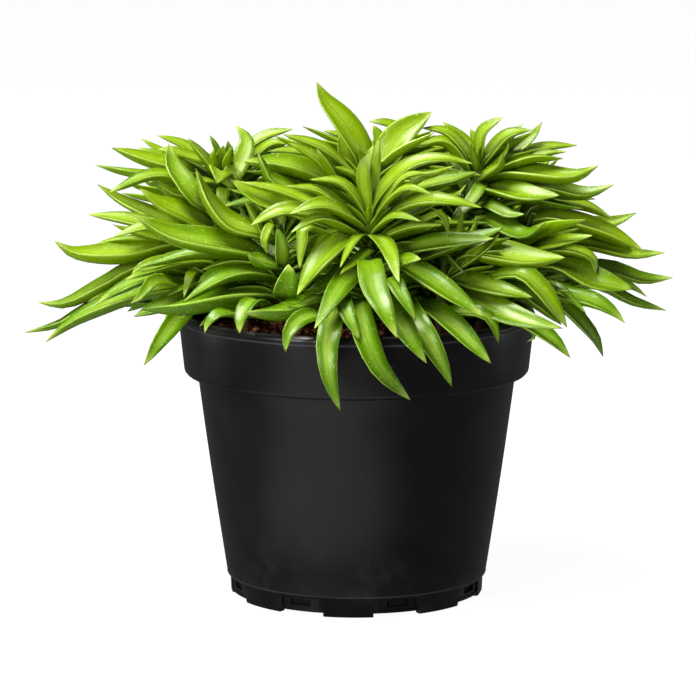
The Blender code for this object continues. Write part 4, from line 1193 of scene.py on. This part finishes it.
def placeBuds(node, spine, placed, rng):
    # the young leaves that stand in a stem's crown
    (short, long), (narrow, wide) = filling["budLength"], filling["budWidth"]
    (near, far), steps = filling["budDepth"], filling["budSteps"]
    (steep, lower), (droop, more) = filling["budElevation"], filling["budDroop"]
    for i in range(filling["buds"]):
        share = (i + 0.5) / filling["buds"]
        bearing = i * goldenAngle + rng.uniform(-0.3, 0.3)
        length = short + (long - short) * share
        root = onSpine(spine, spine[-1].z - near - far * share)
        place = root.copy()
        control = [root]
        for k in range(steps):
            angle = math.radians(steep + lower * share - (droop + more * share) * k / (steps - 1))
            place = place + length * rng.uniform(0.9, 1.1) / steps * aimed(bearing, angle)
            control.append(place)
        width = narrow + (wide - narrow) * share
        inward = Vector((-math.cos(bearing), -math.sin(bearing), 0.9)).normalized()
        bud = Leaf(node, control, width, inward, 0.0)
        if inOutline(bud.spine[-1]) and bud.clearOf(placed, False, 0.2):
            placed.append(bud)


def placeFillers(node, spine, placed, rng):
    # shorter leaves in the gaps that the others leave
    (short, long), (narrow, wide) = filling["fillerLength"], filling["fillerWidth"]
    first, more = filling["fillerLevels"]
    for i in range(filling["fillers"]):
        level = first + more * ((i * goldenShare) % 1)
        bearing = i * goldenAngle + 1
        plan = (level, bearing, (short + (long - short) * level) * rng.uniform(0.85, 1.15),
                (narrow + (wide - narrow) * level) * rng.uniform(0.85, 1.1), rng.uniform(-0.4, 0.4))
        for change in ruleTries[::4]:
            leaf = ruleLeaf(node, spine, plan, *change)
            # leaves that come forward would hide the listed ones
            forward = spine[-1].y < 25 and leaf.spine[-1].y < leaf.spine[0].y - 5
            if not forward and all(inOutline(place) for place in leaf.spine) and leaf.clearOf(placed, True, 0.0):
                placed.append(leaf)
                break


def plantLayout():
    # every stem's spine and leaves, the leaves of the solids first and in the same order
    spines = {node: stemSpine(stem) for node, stem in stemRows.items()}
    placed = []
    for node in ("pot", "soil"):
        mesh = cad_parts[node].data
        points = [vert.co / mm for vert in mesh.vertices]
        placed.append(Obstacle(node, points, [tuple(face.vertices) for face in mesh.polygons]))
    placed += [Obstacle(node, *coarseStem(spine)) for node, spine in spines.items()]
    solid = len(placed)
    for node, stem in stemRows.items():
        placeSeenLeaves(node, spines[node], stem["leaves"], placed)
    rng = random.Random(seed)
    for node, stem in stemRows.items():
        placeRuleLeaves(node, spines[node], stem["rule"], placed, rng)
    print("leaves of the solids:", len(placed) - solid)
    for node, rows in smallRows.items():
        placeSeenLeaves(node, spines[node], rows, placed)
    rng = random.Random(filling["seed"])
    for node, spine in spines.items():
        placeBuds(node, spine, placed, rng)
    for node, spine in spines.items():
        placeFillers(node, spine, placed, rng)
    print("leaves in all:", len(placed) - solid)
    return spines, placed[solid:]


def leafyStemTree(leafLook, stemLook, inputs):
    # sweeps a folded blade along every leaf's spine, and a tube along the stem's
    graph, sizes = geometryTree("leafyStem", inputs)
    curves = graph.add("GeometryNodeMeshToCurve", None, {"Mesh": sizes["Geometry"]})
    parted = graph.add("GeometryNodeSeparateGeometry", {"domain": "CURVE"}, {
        "Geometry": curves, "Selection": graph.attribute("isStem")})
    leaves, stems = parted.out("Inverted"), parted.out("Selection")

    # one blade for each leaf
    count = graph.add("GeometryNodeAttributeDomainSize", {"component": "CURVE"}, {"Geometry": leaves})
    points = graph.add("GeometryNodePoints", None, {"Count": count.out("Spline Count")})
    points = graph.store(points, "leaf", graph.add("GeometryNodeInputIndex"), "INT")
    blade = graph.add("GeometryNodeMeshCylinder", {"fill_type": "TRIANGLE_FAN"}, {
        "Vertices": sizes["Sides"], "Side Segments": sizes["Rings"], "Radius": 1.0, "Depth": 1.0})
    laid = graph.add("GeometryNodeInstanceOnPoints", None, {"Points": points, "Instance": blade})
    blades = graph.add("GeometryNodeRealizeInstances", None, {"Geometry": laid})

    # where a point of the blade lies: along the leaf, across it, and above or below its middle
    across, above, height = graph.parts(graph.add("GeometryNodeInputPosition"))
    onWall = (across * across + above * above).ease(0.2, 0.5)
    along = (1 - (0.5 - height) ** 1.15) * (1 - 0.012 * onWall)
    blades = graph.store(blades, "blade", graph.vector(along, across, above), "FLOAT_VECTOR")
    along, across, above = graph.parts(graph.attribute("blade", "FLOAT_VECTOR"))
    leaf = graph.attribute("leaf", "INT")

    def sample(name):
        return graph.add("GeometryNodeSampleCurve", {"data_type": "FLOAT_VECTOR", "mode": "FACTOR"}, {
            "Curves": leaves, "Value": graph.attribute(name, "FLOAT_VECTOR"), "Factor": along, "Curve Index": leaf})

    spine = sample("facing")
    half, age, tone = graph.parts(sample("traits"))
    peak, tightness = graph.parts(sample("form"))[:2]
    tangent = spine.out("Tangent")
    side = graph.sum("CROSS_PRODUCT", spine, tangent)
    side = graph.add("ShaderNodeVectorMath", {"operation": "NORMALIZE"}, {0: side})
    turn = graph.chance(-1.0, 1.0, sizes["Seed"], each=leaf) * sizes["Twist"] * (along - 0.25)
    side = graph.add("ShaderNodeVectorRotate", {"rotation_type": "AXIS_ANGLE"}, {
        "Vector": side, "Axis": tangent, "Angle": turn})
    upper = graph.sum("CROSS_PRODUCT", tangent, side)

    # the outline, the fold and the plump underside
    outline = (along / peak) ** (peak / (1 - peak)) * (1 - along) / (1 - peak)
    outline = outline.atLeast((1 - along) * leafShape["rootWidth"]) + 0.05 * (1 - along ** 14.0)
    halfHere = half * outline
    fold = sizes["Fold"] * tightness * graph.chance(0.8, 1.2, sizes["Seed"] + 1, each=leaf) * along.ease(0.0, 0.25)
    middle = halfHere * (fold * abs(across) ** 1.35 - 0.12)
    plump = sizes["Plump"] * ((1 - along) * 6 + 0.2).upTo(1) + halfHere * sizes["Plump share"]
    depth = plump * (0.62 - 0.24 * above.ease(-0.1, 0.1))
    middleLine = spine.out("Position")
    swell = graph.drift(middleLine, 45.0, 1.0) * (sizes["Wave"] * along.ease(0.1, 0.6))
    place = middleLine + swell + side * (halfHere * across) + upper * (middle + above * depth)
    blades = graph.store(blades, "look", graph.vector(age, tone, 0.0), "FLOAT_VECTOR")
    blades = graph.add("GeometryNodeSetPosition", None, {"Geometry": blades, "Position": place})

    # the stem, with small random swellings
    radius = graph.parts(graph.attribute("traits", "FLOAT_VECTOR"))[0]
    ring = graph.add("GeometryNodeCurvePrimitiveCircle", None, {"Resolution": sizes["Stem sides"], "Radius": 1.0})
    tube = graph.add("GeometryNodeCurveToMesh", None, {
        "Curve": stems, "Profile Curve": ring, "Scale": radius, "Fill Caps": True})
    bumps = graph.clouds(graph.add("GeometryNodeInputPosition"), 240.0, 1.0)
    outward = graph.add("GeometryNodeInputNormal")
    tube = graph.add("GeometryNodeSetPosition", None, {"Geometry": tube, "Offset": outward * ((bumps - 0.6) * 0.0006)})
    joined = graph.add("GeometryNodeJoinGeometry", None, {"Geometry": [tube, blades]})
    joined = graph.add("GeometryNodeSetShadeSmooth", None, {"Geometry": joined})
    return endTree(graph, joined, [(leafLook, True), (stemLook, graph.attribute("isStem"))])


leafColours = {
    "fresh": (0.2, 0.32, 0.001, 1),       # young, yellow-green
    "grown": (0.09, 0.2, 0.0003, 1),
    "deep": (0.01, 0.045, 0.0001, 1),     # painted shade on undersides and in the middle crease; margins and old leaves
    "windowAndSheen": (0.29, 0.42, 0.055, 1),     # the pale band along the middle: the leaf's window, with a painted sheen
    "rim": (0.38, 0.55, 0.07, 1),
    "tip": (0.36, 0.46, 0.08, 1),
    "point": (0.07, 0.055, 0.012, 1),     # the dried end of a tip
}


def leafLook():
    look, graph, shader = newLook("happyBeanLeaf")
    along, across, above = graph.parts(graph.marked("blade", "Vector"))
    age, tone = graph.parts(graph.marked("look", "Vector"))[:2]
    place = graph.add("ShaderNodeTexCoord").out("Object")
    broad = graph.clouds(place, 42.0)
    blotch = graph.clouds(place, 330.0, 4.0, 0.65)
    veins = graph.clouds(graph.vector(along * 5, across * 9, tone * 40), 1.6, 4.0, 0.6)
    dots = graph.add("ShaderNodeTexVoronoi", {"feature": "F1"}, {"Vector": place, "Scale": 1050.0})
    specks = dots.out("Distance").ease(0.36, 0.14) * blotch.ease(0.5, 0.62)
    edge = abs(across)
    top = above.ease(-0.05, 0.3)
    span = along.ease(0.04, 0.25) * along.ease(0.98, 0.75)

    green = graph.mix((age + (broad - 0.5) * 0.9).ease(0.0, 0.75), leafColours["fresh"], leafColours["grown"])
    # painted shade: the underside is mixed towards deep green
    green = graph.mix((0.2 - top * 0.14) * (0.5 + tone * 0.5), green, leafColours["deep"])
    green = graph.mix(veins.ease(0.35, 0.75) * 0.3, green, leafColours["deep"])
    green = graph.mix(edge.ease(0.3, 0.9) * top * (0.25 + 0.35 * broad), green, leafColours["deep"])
    green = graph.mix(along.ease(0.5, 0.1) * 0.5, green, leafColours["deep"])
    # the pale band: the leaf's own window, with a painted sheen of the light on its upper face
    pale = top * span * (edge + (veins - 0.5) * 0.5).ease(0.62, 0.1) * broad.ease(0.25, 0.65) * (0.5 + tone * 0.5)
    green = graph.mix(pale * 0.7, green, leafColours["windowAndSheen"])
    # painted shade: a dark line along the middle crease of the upper face
    green = graph.mix(edge.ease(0.09, 0.0) * top * veins.ease(0.3, 0.6) * 0.35, green, leafColours["deep"])
    green = graph.mix(specks * 0.6, green, leafColours["rim"])
    green = graph.mix(blotch.ease(0.6, 0.8) * 0.25, green, leafColours["deep"])
    # the pale rim line: the leaf's pale margin, partly a painted highlight along its edge
    green = graph.mix(edge.ease(0.91, 0.98) * span * (0.35 + blotch * 0.6), green, leafColours["rim"])
    green = graph.mix(along.ease(0.88, 0.98) * (0.7 - tone * 0.6), green, leafColours["tip"])
    green = graph.mix(along.ease(0.96, 0.995) * tone.ease(0.35, 0.6), green, leafColours["point"])
    bump = graph.bump(veins * 0.7 + blotch * 0.4 + specks * 0.3, 0.32, 0.0003)
    wire(graph, shader, {
        "Base Color": green, "Roughness": 0.16 + blotch * 0.2, "Normal": bump, "Specular IOR Level": 0.32,
        "Specular Tint": (0.95, 1.0, 0.85, 1),
        "Subsurface Weight": 0.1, "Subsurface Scale": 0.0012, "Subsurface Radius": (0.8, 1.0, 0.15),
    })
    return look


def stemLook():
    look, graph, shader = newLook("stemSkin")
    place = graph.add("ShaderNodeTexCoord").out("Object")
    height = graph.parts(place)[2]
    mottle = graph.clouds(place, 380.0, 4.0, 0.7)
    colour = graph.mix(height.ease(0.094, 0.125), (0.12, 0.06, 0.022, 1), (0.17, 0.32, 0.03, 1))
    colour = graph.mix(mottle.ease(0.5, 0.75) * 0.5, colour, (0.06, 0.07, 0.015, 1))
    wire(graph, shader, {
        "Base Color": colour, "Roughness": 0.45 + mottle * 0.25, "Normal": graph.bump(mottle, 0.4, 0.0005)})
    return look


def leafLine(leaf, rng):
    # a leaf's spine with, for each place on it, the way it faces, its traits and its form
    places = smoothThrough(leaf.control, leafShape["places"])
    heading = (places[-1] - places[0]).normalized()
    sideways = heading.x ** 2  # these fold tighter, with their groove upward
    roll = Matrix.Rotation(math.radians(rng.uniform(-10, 10)), 3, heading)
    facing = leaf.facing.lerp(upward, leafShape["upturn"] * sideways)
    ways = [way for along, way in leafFrames(places, roll @ facing)]
    half = leaf.width / 2 * (1 + leafShape["wider"] * sideways)
    traits = (half * mm, min(max(leaf.age, 0.0), 1.0), rng.random())
    form = (leaf.peak, 1 + leafShape["tighter"] * sideways, 0.0)
    return places, ways + ways[-1:], [traits] * len(places), [form] * len(places)


def stemLine(spine):
    # the same for a stem, whose first trait is its radius
    places = smoothThrough(spine, stemShape["places"])
    thick, thin, last = stemShape["radius"], stemShape["tipRadius"], len(places) - 1
    traits = [((thick + (thin - thick) * i / last) * mm, 0.0, 0.0) for i in range(last + 1)]
    return places, [upward] * (last + 1), traits, [(0.5, 0, 0)] * (last + 1)


def makePlant():
    spines, leaves = plantLayout()
    inputs = {
        "Rings": leafShape["rings"], "Sides": leafShape["sides"], "Fold": leafShape["fold"],
        "Plump": leafShape["plump"], "Plump share": leafShape["plumpShare"],
        "Wave": leafShape["wave"], "Twist": leafShape["twist"],
        "Stem sides": stemShape["sides"], "Seed": leafShape["seed"],
    }
    tree = leafyStemTree(leafLook(), stemLook(), inputs)
    rng = random.Random(seed)
    for node, spine in spines.items():
        lines = [leafLine(leaf, rng) for leaf in leaves if leaf.node == node] + [stemLine(spine)]
        points, edges = [], []
        for places, *rest in lines:
            edges += [(len(points) + i, len(points) + i + 1) for i in range(len(places) - 1)]
            points += [place * mm for place in places]
        mesh = bpy.data.meshes.new(node)
        mesh.from_pydata(points, edges, [])
        for k, name in enumerate(("facing", "traits", "form")):
            values = [part for line in lines for value in line[k + 1] for part in value]
            mesh.attributes.new(name, "FLOAT_VECTOR", "POINT").data.foreach_set("vector", values)
        bared = stemShape["places"]
        isStem = [0.0] * (len(points) - bared) + [1.0] * bared
        mesh.attributes.new("isStem", "FLOAT", "POINT").data.foreach_set("value", isStem)
        made = intoScene(bpy.data.objects.new("leafy_" + node, mesh))
        grow(made, tree, inputs)
        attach(made, "root")
        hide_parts(node)
        print(node + ":", len(lines) - 1, "leaves,", len(made.data.polygons), "faces")


makePlant()
